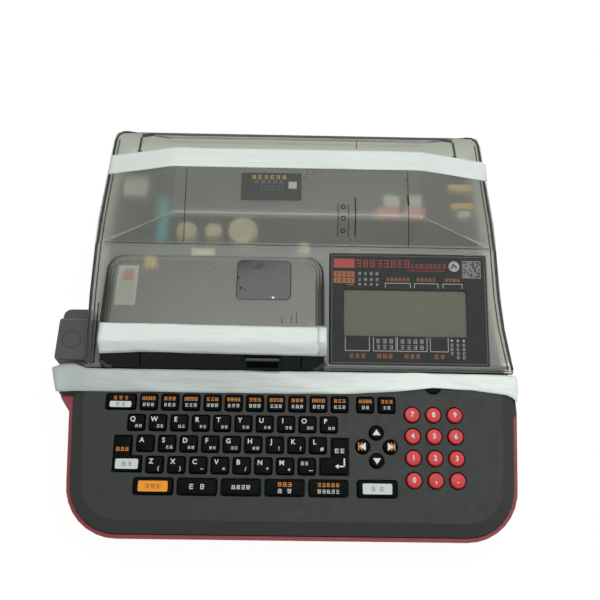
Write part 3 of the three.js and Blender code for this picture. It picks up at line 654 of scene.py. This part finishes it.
def arrow_keys():
    for name, (dx, dv, turn) in ARROWS.items():
        x, v = ARROW_CENTRE[0] + dx * ARROW_REACH, ARROW_CENTRE[1] + dv * ARROW_REACH
        single_cap(name, circle(4.3, x, v), edge=0.8)
        white = bmesh.new()
        triangle(white, x, v + dv * 0.2, 3.6, turn, INK)
        ink(name + "_mark", white, "white_ink", name)
        if dx:
            orange = bmesh.new()
            height = INK + 0.01
            bar(orange, x + dx * 2.7, v, 0.6, 4.8, height)
            for side in (-1, 1):
                stroke(orange, (x + dx * 2.4, v), (x + dx * 0.3, v + side * 2.4), 0.6, height)
            ink(name + "_bar", orange, "orange_ink", name)


letter_rows()
function_row()
wide_keys()
l_keys()
number_keys()
arrow_keys()

# ------------ case and mechanism
lower_case = refined("lower_case", "shell", 0.5)
tint_faces(lower_case, "deck", lambda x, y, z, normal: y > -33.5 and z > 38 and abs(x) < 148)
top_case = refined("top_case", "deck", 0.22, 2, 30, 18)
exit_housing = refined("exit_housing", "exit", 0.7, 3)
tint_faces(exit_housing, "front", lambda x, y, z, normal: normal.y < -0.45)
release_button = refined("cover_release_button", "key", 0.4)
for node, material, bevel in (
    ("front_foot", "rubber", 0.4), ("rear_foot", "rubber", 0.4), ("rear_sockets", "well", 0.2),
    ("display_housing", "deck", 0.2), ("display_panel", "panel", 0.15), ("lcd_module", "glass", 0.15),
):
    refined(node, material, bevel)
for material, members in {
    "board": ("main_board", "key_board"),
    "plate": ("mechanism_plate",),
    "steel": ("stepper_motor", "cutter_blade", "cover_hinge_rod"),
    "inner": ("ribbon_cassette",),
    "exit": ("head_arm",),
    "nylon": ("tube_guide", "motor_pinion", "idler_gear"),
    "teal": ("head_release_lever",),
    "rubber": ("platen_roller", "feed_roller", "pinch_roller"),
    "well": ("takeup_spool", "supply_spool"),
}.items():
    for node in members:
        repaint(node, material)

# ------------ cover, latch and window
BUBBLE_X = (-127, 19.2)
BUBBLE_BACK = 42
BUBBLE_CORNER = 13
SHOULDER = 69.5
WINDOW_TOP = 69.3
HUMP_TOP = 81.8
PRINT = 0.03


def over_bubble(x, margin):
    """Whether x lies over the raised area that houses the print unit."""
    return BUBBLE_X[0] - margin < x < BUBBLE_X[1] + margin


lid = refined("clear_cover", "smoke", 0.9, 3, 9, 40, (lambda x, y, z: 60 < y < 70 and z > 78, 2.5))
tint_faces(lid, "front", lambda x, y, z, normal: over_bubble(x, 0.5) and y < -19.6 and z > 46)
# the walls of the raised area get the darker copy of the smoke: painted shade on the faces turned sideways
tint_faces(lid, "smoke_side_shaded", lambda x, y, z, normal: (
    abs(normal.x) > 0.6 and y < BUBBLE_BACK + 1 and z > 48 and over_bubble(x, 1)
))
refined("view_window", "window", 0.3)
refined("cover_front_panel", "front", 0.2)
latch = refined("cover_latch", "front", 0.5, 3)


# ------------ films and lines laid on finished pieces
# SKY is a height above everything; STRETCH is how far to each side a film finds what holds it up
TAPE_THICK = 0.12
TAPE_LIFT = 0.16
TAPE_STEP = 3
LINE_THICK = 0.1
LINE_LIFT = 0.05
LINE_STEP = 1.5
STRETCH = 1.5
SKY = 120


def surface(*objects, middle=None):
    """A search tree of finished pieces; with a middle, only of the faces that look away from it."""
    points, faces = [], []
    for obj in objects:
        start = len(points)
        points += [TO_MACHINE @ vertex.co for vertex in obj.data.vertices]
        for face in obj.data.polygons:
            if middle is None or face.normal.dot(TO_MACHINE @ face.center - Vector(middle)) > 0:
                faces.append([start + index for index in face.vertices])
    return BVHTree.FromPolygons(points, faces)


lid_surface = surface(lid, middle=(3, 55, 30))
latch_surface = surface(latch, middle=(-21, -24, 52))
deck_surface = surface(top_case, release_button)


def top_of(tree, x, y, otherwise=0):
    """Highest point close to (x, y), as a film stretched over it would find it."""
    around = [(0, 0), (STRETCH, 0), (-STRETCH, 0), (0, STRETCH), (0, -STRETCH)]
    hits = [tree.ray_cast(Vector((x + dx, y + dy, SKY)), Vector((0, 0, -1)))[0] for dx, dy in around]
    return max([hit.z for hit in hits if hit], default=otherwise)


def film(name, columns, material, body, thick):
    """A sheet of some thickness through columns of points."""
    bm = bmesh.new()
    verts = [[bm.verts.new(point) for point in column] for column in columns]
    for left, right in zip(verts, verts[1:]):
        for k in range(len(left) - 1):
            bm.faces.new((left[k], right[k], right[k + 1], left[k + 1]))
    solid = piece(name, bm, material, body).modifiers.new("thickness", "SOLIDIFY")
    solid.thickness = thick * MM
    solid.offset = 0


def blend(points, x):
    """Straight-line reading of a list of (x, value) pairs."""
    for (x0, a), (x1, b) in zip(points, points[1:]):
        if x <= x1:
            return a + (b - a) * max(x - x0, 0) / (x1 - x0)
    return points[-1][1]


def loose_end(corners, rows):
    """Columns of tape that hang free and bulge a little, each given by its near and far corner."""
    columns = []
    for near, far in corners:
        column = []
        for k in range(rows + 1):
            bulge = 1.2 * math.sin(math.pi * k / rows)
            column.append(Vector(near).lerp(Vector(far), k / rows) + Vector((0, 0, bulge)))
        columns.append(column)
    return columns


def tape(name, tree, body, ends, near, far, wrinkle, fall=0.9, rows=10, loose=((), ()), material="tape"):
    """
    White tape laid over a piece: near and far are its edges along x, wrinkle is the height of its waves,
    fall its steepest slope, and loose adds free ends.
    """
    count = int((ends[1] - ends[0]) / TAPE_STEP) + 1
    spacing = (ends[1] - ends[0]) / count
    laid = []
    for x in (ends[0] + spacing * i for i in range(count + 1)):
        y0, y1 = blend(near, x), blend(far, x)
        lines = [y0 + (y1 - y0) * k / rows for k in range(rows + 1)]
        laid.append([Vector((x, y, top_of(tree, x, y))) for y in lines])
    # stretched film spans dips: seen from either side, it falls no faster than fall
    for columns in (laid, laid[::-1]):
        for neighbour, column in zip(columns, columns[1:]):
            for beside, point in zip(neighbour, column):
                point.z = max(point.z, beside.z - fall * spacing)
    for column in laid:
        for k, point in enumerate(column):
            wave = 0.5 + 0.5 * math.sin(point.x * 0.21 + k * 0.5) * math.sin(point.x * 0.083 + 1)
            ridge = max(0, math.sin(point.x * 0.055 + k * 0.42)) ** 8
            point.z += TAPE_LIFT + wrinkle * (wave + 1.6 * ridge)
    columns = loose_end(loose[0], rows) + laid + loose_end(loose[1], rows)
    film(name, columns, material, body, TAPE_THICK)


# near and far corner of each column of the front tape's free ends, from left to right
FRONT_TAPE_LEFT = [
    ((-156, -48.6, 45.6), (-161.4, -31.6, 44)), ((-153, -48.6, 45.8), (-156, -29.6, 45)),
    ((-149.6, -48.6, 46), (-151.4, -29.2, 45.6)), ((-146, -48.5, 46.4), (-146, -29.6, 46.8)),
    ((-142.4, -48.5, 47), (-141, -31.9, 48.7)),
]
FRONT_TAPE_RIGHT = [
    ((139.4, -47.2, 47.4), (139.4, -34.3, 50)), ((143.4, -48.6, 46.4), (143.6, -34.4, 49.6)),
    ((146.2, -50.2, 44.8), (147, -34.6, 48.6)), ((147.5, -51.4, 42.8), (148.4, -35, 46.4)),
]


def tapes():
    tape(
        "rear_tape", lid_surface, "cover", (-134.4, 136.6), [(-137, 104.6), (137, 104.6)],
        [(-137, 120.6), (137, 120.6)], 0.08,
    )
    tape(
        "bubble_tape", lid_surface, "cover", (-126.6, 19), [(-127, -27.6), (-100, -26.6), (22, -27.4)],
        [(-127, -9.4), (22, -10.6)], 0.3, 0.3, 14,
    )
    tape(
        "front_tape", deck_surface, "base", (-135.4, 135.4),
        [(-138, -48.7), (30, -48.4), (64, -46.4), (91, -43.9), (118, -44.6), (140, -47.6)],
        [(-138, -33.9), (91, -34), (140, -34.3)], 0.35, 0.12, 8,
        (FRONT_TAPE_LEFT, FRONT_TAPE_RIGHT), "tape_thin_painted_shade",
    )
    # the raised tape's right end is folded back on itself
    flap = []
    for x, rise in ((14.6, 0.7), (16.4, 1.3), (18.8, 1.4), (20.6, 0.7)):
        under = min(x, 18.6)
        flap.append([(x, y, top_of(lid_surface, under, y, 60) + rise) for y in (-27.2, -21, -19, -15, -10.8)])
    film("tape_flap", flap, "tape", "cover", TAPE_THICK)


def on_surface(points, tree):
    """A path through given corners, laid on the nearest point of a finished piece."""
    path = []
    for start, end in zip(points, points[1:]):
        start, end = Vector(start), Vector(end)
        steps = max(int((end - start).length / LINE_STEP), 1)
        path += [start.lerp(end, k / steps) for k in range(steps)]
    path.append(Vector(points[-1]))
    laid = []
    for point in path:
        place, normal = tree.find_nearest(point)[:2]
        laid.append((place + normal * LINE_LIFT, normal))
    return laid


def line(name, points, width, material="edge", taper=0.0, tree=lid_surface, body="cover"):
    """A narrow band along a surface; taper is the share of it that thins out."""
    laid = on_surface(points, tree)
    last = len(laid) - 1
    columns = []
    for k, (place, normal) in enumerate(laid):
        run = laid[min(k + 1, last)][0] - laid[max(k - 1, 0)][0]
        fade = min((last - k) / last / taper, 1) if taper else 1
        side = normal.cross(run).normalized() * width / 2 * max(fade, 0.04)
        columns.append((place - side, place + side))
    film(name, columns, material, body, LINE_THICK)


# ------------ drawing on the cover
def edge_paths(inwards):
    """Paths along the cover's left and right edges, front to back, at a distance inside."""
    back = [
        (15, 66, 137.4), (47, 72, 136.3), (70, 73, 136.2), (97, 73, 134.8), (126, 73, 133.4),
        (134.6, 73, 132.8), (138.4, 74, 131.6), (140.6, 75, 128.6), (140.9, 76, 122),
    ]
    left = [(inwards - x, y, z) for y, z, x in [(-32, 54, 137.3)] + back]
    right = [(x - inwards, y, z) for y, z, x in [(-32, 54, 144.4), (-5, 60, 139.6)] + back]
    return left, right


def cover_outline():
    """An outer and an inner line along the cover's sides, and its rounded back edge."""
    left, right = edge_paths(0.5)
    line("cover_outline", left + right[::-1], 1.8)
    left, right = edge_paths(3.4)
    line("inner_outline_left", left[:-3], 0.8)
    line("inner_outline_right", right[:-3], 0.8)
    line("back_outline", [(-112.5, 137.8, 75.2), (112.5, 137.8, 75.2)], 4.5, "label")
    line("back_outline_top", [(-112.5, 134.8, 77.6), (112.5, 134.8, 77.6)], 2.6, "label")


def cover_lines():
    """Creases painted with a highlight or with painted shade, and the ribs inside."""
    for side, word in ((-1, "left"), (1, "right")):
        for name, points, width, material in (
            ("rib_", [(77, 104, HUMP_TOP), (76, 66, 81.2), (76.8, 50.5, 70)], 0.5, "edge"),
            ("hump_crease_highlight_", [(130, 50.5, 70), (88.5, 66, 81.4)], 0.5, "seam"),
            ("back_rib_", [(114.4, 121, 80), (113, 134, 78)], 1.8, "label"),
            ("back_rib_foot_", [(112, 121.6, 80), (115.6, 121.6, 80)], 1.2, "label"),
            ("side_mark_", [(137.6, 78, 69.4), (135.4, 78, 69.6)], 0.6, "edge"),
        ):
            line(name + word, [(x * side, y, z) for x, y, z in points], width, material)
    for name, points, width, material in (
        ("rib_foot", [(76.4, 76, HUMP_TOP), (76.2, 84, HUMP_TOP)], 1.3, "edge"),
        ("back_rib_middle", [(41.4, 122, 80), (42.4, 131.6, 80)], 0.5, "edge"),
        # step_line is painted shade and step_line_light a painted highlight along the step
        ("step_line", [(-130.6, 50, 69.8), (132.4, 49.6, 69.8)], 0.45, "edge"),
        ("step_line_light", [(-130.6, 48.2, 69.4), (132.4, 47.8, 69.4)], 0.35, "seam"),
        ("lip_line", [(24, -32.2, 51.9), (143.6, -32.2, 51.9)], 0.4, "edge"),
        # a painted highlight along the cover's front lip
        ("lip_light", [(20, -30.2, 52.6), (142, -30.2, 52.6)], 2.4, "grey_ink_and_highlight"),
        ("left_margin_shade", [(-133.6, -31, 54), (-133.2, -4, 62)], 4.4, "shade_light"),
        ("left_margin_line", [(-132.2, -31.4, 54), (-131.6, 8, 64)], 0.7, "gap_and_recess_shade"),
    ):
        line(name, points, width, material)


def label_print():
    """The label on the hump: gold signs, rows of small ones and a plain patch."""
    x, y, face = -17.8, 89.4, HUMP_TOP + PRINT
    label, gold, white, patch = meshes(4)
    stack(label, rounded(41.6, 22.1, 1, x, y), [(HUMP_TOP - 0.02, 0), (face, 0)])
    mark_row(gold, -19.5, 97, 6, 3.4, 4.2, face + PRINT)
    mark_row(white, -19.5, 93.2, 5, 3.4, 4.2, face + PRINT)
    for v in (y, 87):
        mark_row(white, -17.5, v, 8, 1.6, 2, face + PRINT)
    bar(patch, -3.2, 90.6, 5.6, 5.6, face + PRINT)
    fitted("cover_label", label, "label", "view_window")
    fitted("label_gold", gold, "gold_ink", "view_window")
    fitted("label_white", white, "grey_ink_and_highlight", "view_window")
    fitted("label_patch", patch, "seam", "view_window")


def hump_marks():
    """Three lines down the hump's slope and three rings between them."""
    for k, (x, back, width) in enumerate(((28, 76, 0.5), (35.2, 76, 0.5), (40, 82, 0.9))):
        line("slope_line_%d" % k, [(x, 55.6, 73.6), (x, 66, 81), (x, back, HUMP_TOP)], width)
    for k, (y, z) in enumerate(((58.6, 75.8), (65.6, 80.6), (74, HUMP_TOP))):
        line("slope_icon_%d" % k, [(*point, z) for point in arc(31.6, y, 1.5, 0, 360, 8)], 0.8)


def window_marks():
    """Spots and a glint on the window, and three short marks right of it."""
    spots, dark, glint = meshes(3)
    flat(spots, circle(0.9, -14.9, 10.6, 16), WINDOW_TOP + 0.07, 0.06)
    for x, y, radius in ((-36.6, 17.4, 0.9), (-33.8, 16.2, 0.6), (-38.6, 25, 0.8)):
        flat(dark, circle(radius, x, y, 16), WINDOW_TOP + 0.07, 0.06)
    flat(glint, [(-29, 31.6), (-24, 32), (-20.6, 36), (-25.6, 36)], WINDOW_TOP + 0.06)
    fitted("window_spot", spots, "paper", "view_window")
    fitted("window_marks", dark, "dark_ink", "view_window")
    fitted("window_glint", glint, "label", "view_window")
    for k, x in enumerate((-8.8, -2.6, 0.8)):
        line("edge_mark_%d" % k, [(x, -8, SHOULDER), (x, -3 + 1.6 * k, SHOULDER)], 0.4)


def latch_recess_shade():
    """Painted shade in the finger recess under the latch's upper lip, and a painted highlight along the lip.
    """
    on_latch = {"tree": latch_surface, "body": BODY_OF["cover_latch"]}
    line("latch_recess_shade", [(-31.4, -32.1, 56.5), (-10.6, -32.1, 56.5)], 4.6, "gap_and_recess_shade", **on_latch)
    line("latch_lip_highlight", [(-31.8, -29.6, 59.6), (-10.2, -29.6, 59.6)], 1.8, "latch", **on_latch)


def bubble_bend(side, edge, inwards, height):
    """A path round one rear corner of the raised area, at a distance inside its wall."""
    centre_x, centre_y = edge - side * BUBBLE_CORNER, BUBBLE_BACK - BUBBLE_CORNER
    bend = arc(0, 0, BUBBLE_CORNER - inwards, 0, 90, 6)
    return [(centre_x + side * x, centre_y + y, height) for x, y in bend]


def bubble_details():
    """Seams and corners of the dark front face, and the shaded edges of the raised area."""
    for word, side, edge, x, seam in (
        ("left", -1, BUBBLE_X[0], -126.4, -101.2), ("right", 1, BUBBLE_X[1], 18.6, 4.2),
    ):
        line("front_seam_" + word, [(seam, -32.6, 52.4), (seam + 0.8, -21, 68)], 0.9, "gap_and_recess_shade")
        run = [(1, -29.6, 56.8), (-0.4, -31.5, 54.4), (-2.6, -32.9, 52.5), (-6, -33.4, 51.6)]
        line("front_corner_" + word, [(x + side * dx, y, z) for dx, y, z in run], 2.6, "shade")
        name = "bubble_edge_" + word
        run = [(edge + side * 0.2, -18, 68.4), *bubble_bend(side, edge, -0.2, 68.6)[:6]]
        line(name, run, 1.1, taper=0.3)
        for k, material in enumerate(("shade_deep", "shade", "shade_light")):
            inwards = 1.3 + 1.9 * k
            run = [(edge - side * inwards, -9, SHOULDER), *bubble_bend(side, edge, inwards, SHOULDER)]
            line("%s_shade_%d" % (name, k), run, 2, material, taper=0.5)
    left, right = BUBBLE_X[0] + BUBBLE_CORNER, BUBBLE_X[1] - BUBBLE_CORNER
    line("bubble_back_light", [(x, BUBBLE_BACK - 1.6, SHOULDER) for x in (left, right)], 0.4, "seam")


# ------------ display panel
PANEL_X, PANEL_V = (23.2, 129.3), (5.6, 81.6)
OVER_PRINT = 2 * PRINT


def bracket(bm, x, width, v, height, beam):
    """A bracket: a beam at one height and two uprights centred on another."""
    bar(bm, x, beam, width, 0.5, PRINT)
    for side in (-1, 1):
        bar(bm, x + side * width / 2, v, 0.5, height, PRINT)


def heading(ink_on):
    """A plain block and made-up signs that stand for the name; tabs and settings below."""
    bar(ink_on["badge"], 32.7, 74.8, 14, 6.4, PRINT)
    red, orange, white = ink_on["red"], ink_on["orange"], ink_on["white"]
    mark_row(red, 59, 74.8, 8, 4.6, 4.7, PRINT, 1.35)
    mark_row(red, 90, 73.4, 8, 3, 3.1, PRINT, 1.3)
    bar(red, 88, 70.2, 25, 0.35, PRINT)
    for v in (67.2, 62.8):
        bar(orange, 32.6, v, 14, 3.7, PRINT)
        mark_row(ink_on["dark"], 32.6, v, 4, 2.6, 3.1, OVER_PRINT)
    bar(orange, 36.8, 59.8, 4.6, 0.4, PRINT)
    for x in (43.2 + 3.9 * k for k in range(4)):
        mark(white, x, 67.8, 2.4, PRINT)
        mark(white, x, 63.6, 2.4, PRINT)
        flat(white, circle(0.75, x, 60.2, 10), PRINT)


def groups(ink_on):
    """Bracketed signs above and below the display glass, and columns of signs at the right."""
    orange, white = ink_on["orange"], ink_on["white"]
    for x, width, count in ((69, 17, 6), (88.2, 16, 5), (106, 13, 4)):
        mark_row(orange, x, 64, count, 2.6, 2.7, PRINT)
        bracket(white, x, width, 59.8, 3.2, 61.3)
    for x, width, inside, label in ((41.5, 16, 0, 3), (59.7, 15, 3, 3), (78, 19.7, 4, 3), (96, 12, 0, 2)):
        bracket(white, x, width, 19.6, 9.4, 15)
        for v in (17.6, 21.6):
            mark_row(white, x, v, inside, 3.2, 4.3, PRINT)
        mark_row(orange, x, 11.6, label, 3.2, 3.8, PRINT)
    for x, count in ((104.4, 3), (108.4, 4), (112.4, 4)):
        flat(white, circle(0.85, x, 22.6, 10), PRINT)
        for v in (19.6, 16.8, 14, 11.2)[:count]:
            mark(white, x, v, 2.3, PRINT)


def corner_signs(ink_on):
    """A round sign, a patch of chance squares that encodes nothing, and the panel's border."""
    dark, grey = ink_on["dark"], ink_on["grey"]
    flat(ink_on["white"], circle(3.7, 107.4, 73.6), PRINT)
    stroke(dark, (105.6, 72), (107, 75.2), 0.9, OVER_PRINT)
    stroke(dark, (107, 75.2), (109.2, 72.4), 0.9, OVER_PRINT)
    bar(grey, 119.2, 71.6, 12.6, 12.2, PRINT)
    middle_x, middle_v = sum(PANEL_X) / 2, sum(PANEL_V) / 2
    width, height = PANEL_X[1] - PANEL_X[0] - 2.6, PANEL_V[1] - PANEL_V[0] - 2.6
    for side in (-1, 1):
        bar(grey, middle_x, middle_v + side * height / 2, width, 0.25, PRINT)
        bar(grey, middle_x + side * width / 2, middle_v, 0.25, height, PRINT)
    for i in range(9):
        for j in range(9):
            if random_marks.random() < 0.45:
                bar(dark, 114.2 + 1.25 * i, 66.8 + 1.2 * j, 1.1, 1.05, OVER_PRINT)


PANEL_INKS = {
    "badge": "badge", "red": "red_ink", "orange": "panel_orange", "white": "panel_white",
    "grey": "grey_ink_and_highlight", "dark": "dark_ink",
}


def display_print():
    ink_on = {name: bmesh.new() for name in PANEL_INKS}
    heading(ink_on)
    groups(ink_on)
    corner_signs(ink_on)
    for name, material in PANEL_INKS.items():
        fitted("panel_" + name, ink_on[name], material, "display_panel", PANEL)


# ------------ exit housing, inside, underside and back
EXIT_TOP, EXIT_STEP = 48.03, 46.05
# feet of what stands on the mechanism plate and on the floor of the bay
ON_PLATE, ON_FLOOR = 34.4, 32.6
UNDERSIDE = 3


def exit_details():
    """Round mark, joint lines and painted highlights along the edges of the exit housing."""
    dark, light = meshes(2)
    outer, inner = circle(6.3, -150, -12.8), circle(5.95, -150, -12.8)
    for k in range(len(outer)):
        flat(dark, [outer[k - 1], outer[k], inner[k], inner[k - 1]], EXIT_TOP)
    bar(dark, -149, 2.75, 19, 0.35, EXIT_STEP)
    bar(dark, -134.3, -12.4, 0.7, 29, EXIT_TOP)
    # painted highlights along the step and the right edge of the top face
    bar(light, -147, 1.9, 24.6, 0.45, EXIT_TOP)
    bar(light, -136.2, -12.4, 0.3, 26, EXIT_TOP)
    fitted("exit_marks", dark, "dark_ink", "exit_housing")
    fitted("exit_edge_highlights", light, "grey_ink_and_highlight", "exit_housing")


def inner_details():
    """Fittings that show through the cover: rolls, posts and connectors."""
    cream, amber, white, dark, red = meshes(5)
    for x, y, radius in ((-75.6, 60.6, 7.5), (-57.4, 61, 6), (-37, 61.6, 10.5), (5, 51, 5)):
        stack(cream, circle(radius, x, y, 32), soft_top(58, 71 if radius > 5 else 66, 3))
        stack(dark, circle(radius * 0.8, x, y, 32), [(ON_PLATE, 0), (58, 0)])
    slab(cream, (-72, -56), (43.4, 49), (60, 65))
    stack(amber, rounded(9, 9, 1.5, -99, 37.4), soft_top(58, 66, 1.5))
    for bm, xs, ys in (
        (white, (-122.6, -106), (90, 107)), (white, (61, 72), (82, 91)), (white, (78, 88), (82, 91)),
        (red, (55, 72), (73.4, 81)), (red, (75, 90), (73.4, 81)), (amber, (107, 123), (96, 101)),
        (amber, (108, 124), (81, 85.4)), (white, (112, 121), (74, 79)),
    ):
        foot, head = (ON_PLATE, 60) if xs[0] < -100 else (ON_FLOOR, 64)
        slab(bm, xs, ys, (head, head + 6))
        slab(dark, (xs[0] + 2, xs[1] - 2), (ys[0] + 1, ys[1] - 1), (foot, head))
    slab(dark, (-99.4, -97.4), (44, 62), (63, 64.6))
    for name, bm, material in (
        ("inner_rolls", cream, "cream"), ("inner_amber", amber, "amber"), ("inner_red", red, "pink"),
        ("inner_connectors", white, "paper"), ("inner_rod", dark, "well"),
    ):
        piece(name, bm, material, BODY_OF["mechanism_plate"])


def cover_note():
    """A paper note with grey lines and a blush dot, stuck under the raised area."""
    paper, lines, dot = meshes(3)
    top = 67.25
    slab(paper, (-119.4, -105.8), (4.4, 33.6), (top - 0.15, top))
    for k in range(9):
        bar(lines, -112.6, 6.4 + 2.1 * k, 10.6, 0.5, top + 0.03)
    flat(dot, circle(4, -112, 26.6, 20), top + 0.03)
    fitted("cover_note", paper, "paper", "view_window")
    fitted("cover_note_lines", lines, "grey_ink_and_highlight", "view_window")
    fitted("cover_note_dot", dot, "blush", "view_window")


def screw(bm, slots, x, y, z):
    """A cross-head screw seen from below."""
    stack(bm, circle(3.1, x, y, 24), [(z - 0.25, 0.3), (z, 0)])
    reach = 1.705
    stroke(slots, (x - reach, y), (x + reach, y), 0.682, z - 0.27)
    stroke(slots, (x, y - reach), (x, y + reach), 0.682, z - 0.27)


def underside():
    """Screws, a row of air slots and a blank plate with plain lines."""
    heads, slots, plate, lines = meshes(4)
    face = UNDERSIDE - 0.02
    for x in (-112, 0, 112):
        for y in (-88, 92):
            screw(heads, slots, x, y, face)
    stack(plate, rounded(70, 36, 2, 60, 20), [(face - 0.18, 0), (face, 0)])
    for v in (6.6, 12, 17.4, 22.8, 28.2, 33.4):
        bar(lines, 60, v, 62, 0.3, face - 0.2)
    for k in range(12):
        stack(slots, rounded(2.4, 30, 1.1, -100 + 6 * k, 10, 3), [(face - 0.14, 0), (face, 0)])
    for name, bm, material, node in (
        ("base_screws", heads, "steel", "cover_hinge_rod"), ("base_slots", slots, "well", "rear_sockets"),
        ("rating_plate", plate, "paper", "rear_sockets"), ("rating_lines", lines, "grey_ink_and_highlight", "rear_sockets"),
    ):
        piece(name, bm, material, BODY_OF["lower_case"])


def socket_contacts():
    """Centre pin of the power inlet and tongue of the data socket."""
    middle_z = 16
    for name, material, node, x, width, tall in (
        ("power_pin", "steel", "cover_hinge_rod", 98, 1.6, 1.6),
        ("data_tongue", "nylon", "rear_sockets", 80, 5, 2.2),
    ):
        bm = bmesh.new()
        slab(bm, (x - width / 2, x + width / 2), (127, 134), (middle_z - tall / 2, middle_z + tall / 2))
        piece(name, bm, material, BODY_OF["rear_sockets"])


for draw in (
    tapes, cover_outline, cover_lines, label_print, hump_marks, window_marks, bubble_details, latch_recess_shade,
    display_print, exit_details, inner_details, cover_note, underside, socket_contacts,
):
    draw()


# ------------ stage, light and camera
def stage():
    """A white floor that glows a little, to stay white around the object."""
    bm = bmesh.new()
    bmesh.ops.create_grid(bm, x_segments=1, y_segments=1, size=3)
    mesh = bpy.data.meshes.new("floor")
    bm.to_mesh(mesh)
    bm.free()
    floor = bpy.data.objects.new("floor", mesh)
    floor.location.z = -0.2 * MM
    bpy.context.scene.collection.objects.link(floor)
    material, _, shader = new_material("floor_paper")
    shader.inputs["Base Color"].default_value = (0.05, 0.05, 0.05, 1)
    shader.inputs["Roughness"].default_value = 0.9
    shader.inputs["Emission Color"].default_value = (1, 1, 1, 1)
    shader.inputs["Emission Strength"].default_value = 0.95
    mesh.materials.append(material)


def area_light(name, location, size, power):
    """A round lamp that looks at the origin."""
    light = bpy.data.lights.new(name, "AREA")
    light.shape = "DISK"
    light.size = size
    light.energy = power
    holder = bpy.data.objects.new(name, light)
    holder.location = location
    holder.rotation_euler = (-Vector(location)).to_track_quat("-Z", "Y").to_euler()
    bpy.context.scene.collection.objects.link(holder)


def studio():
    world = bpy.data.worlds.new("studio")
    world.use_nodes = True
    background = world.node_tree.nodes["Background"]
    background.inputs["Color"].default_value = (1, 1, 1, 1)
    background.inputs["Strength"].default_value = 0.42
    bpy.context.scene.world = world
    area_light("ceiling_light", (0.1, 0.2, 1.5), 1.2, 11)
    area_light("window_light", (0.9, -0.1, 1.1), 0.7, 3)
    bpy.context.scene.view_settings.view_transform = "Standard"


def camera():
    """Stands in the machine's frame by its position, its direction and roughly its right."""
    data = bpy.data.cameras.new("camera")
    data.lens = 45
    data.sensor_width = 36
    holder = bpy.data.objects.new("camera", data)
    bpy.context.scene.collection.objects.link(holder)
    position = MACHINE @ Vector((-2.87, -198.97, 518.98))
    forward = Vector((0.0117, 0.42, -0.9075)).normalized()
    right = Vector((0.9998, 0.0098, 0.0174))
    up = right.cross(forward).normalized()
    axes = Matrix((forward.cross(up), up, -forward)).transposed().to_4x4()
    holder.matrix_world = Matrix.Translation(position) @ axes
    bpy.context.scene.camera = holder


stage()
studio()
camera()
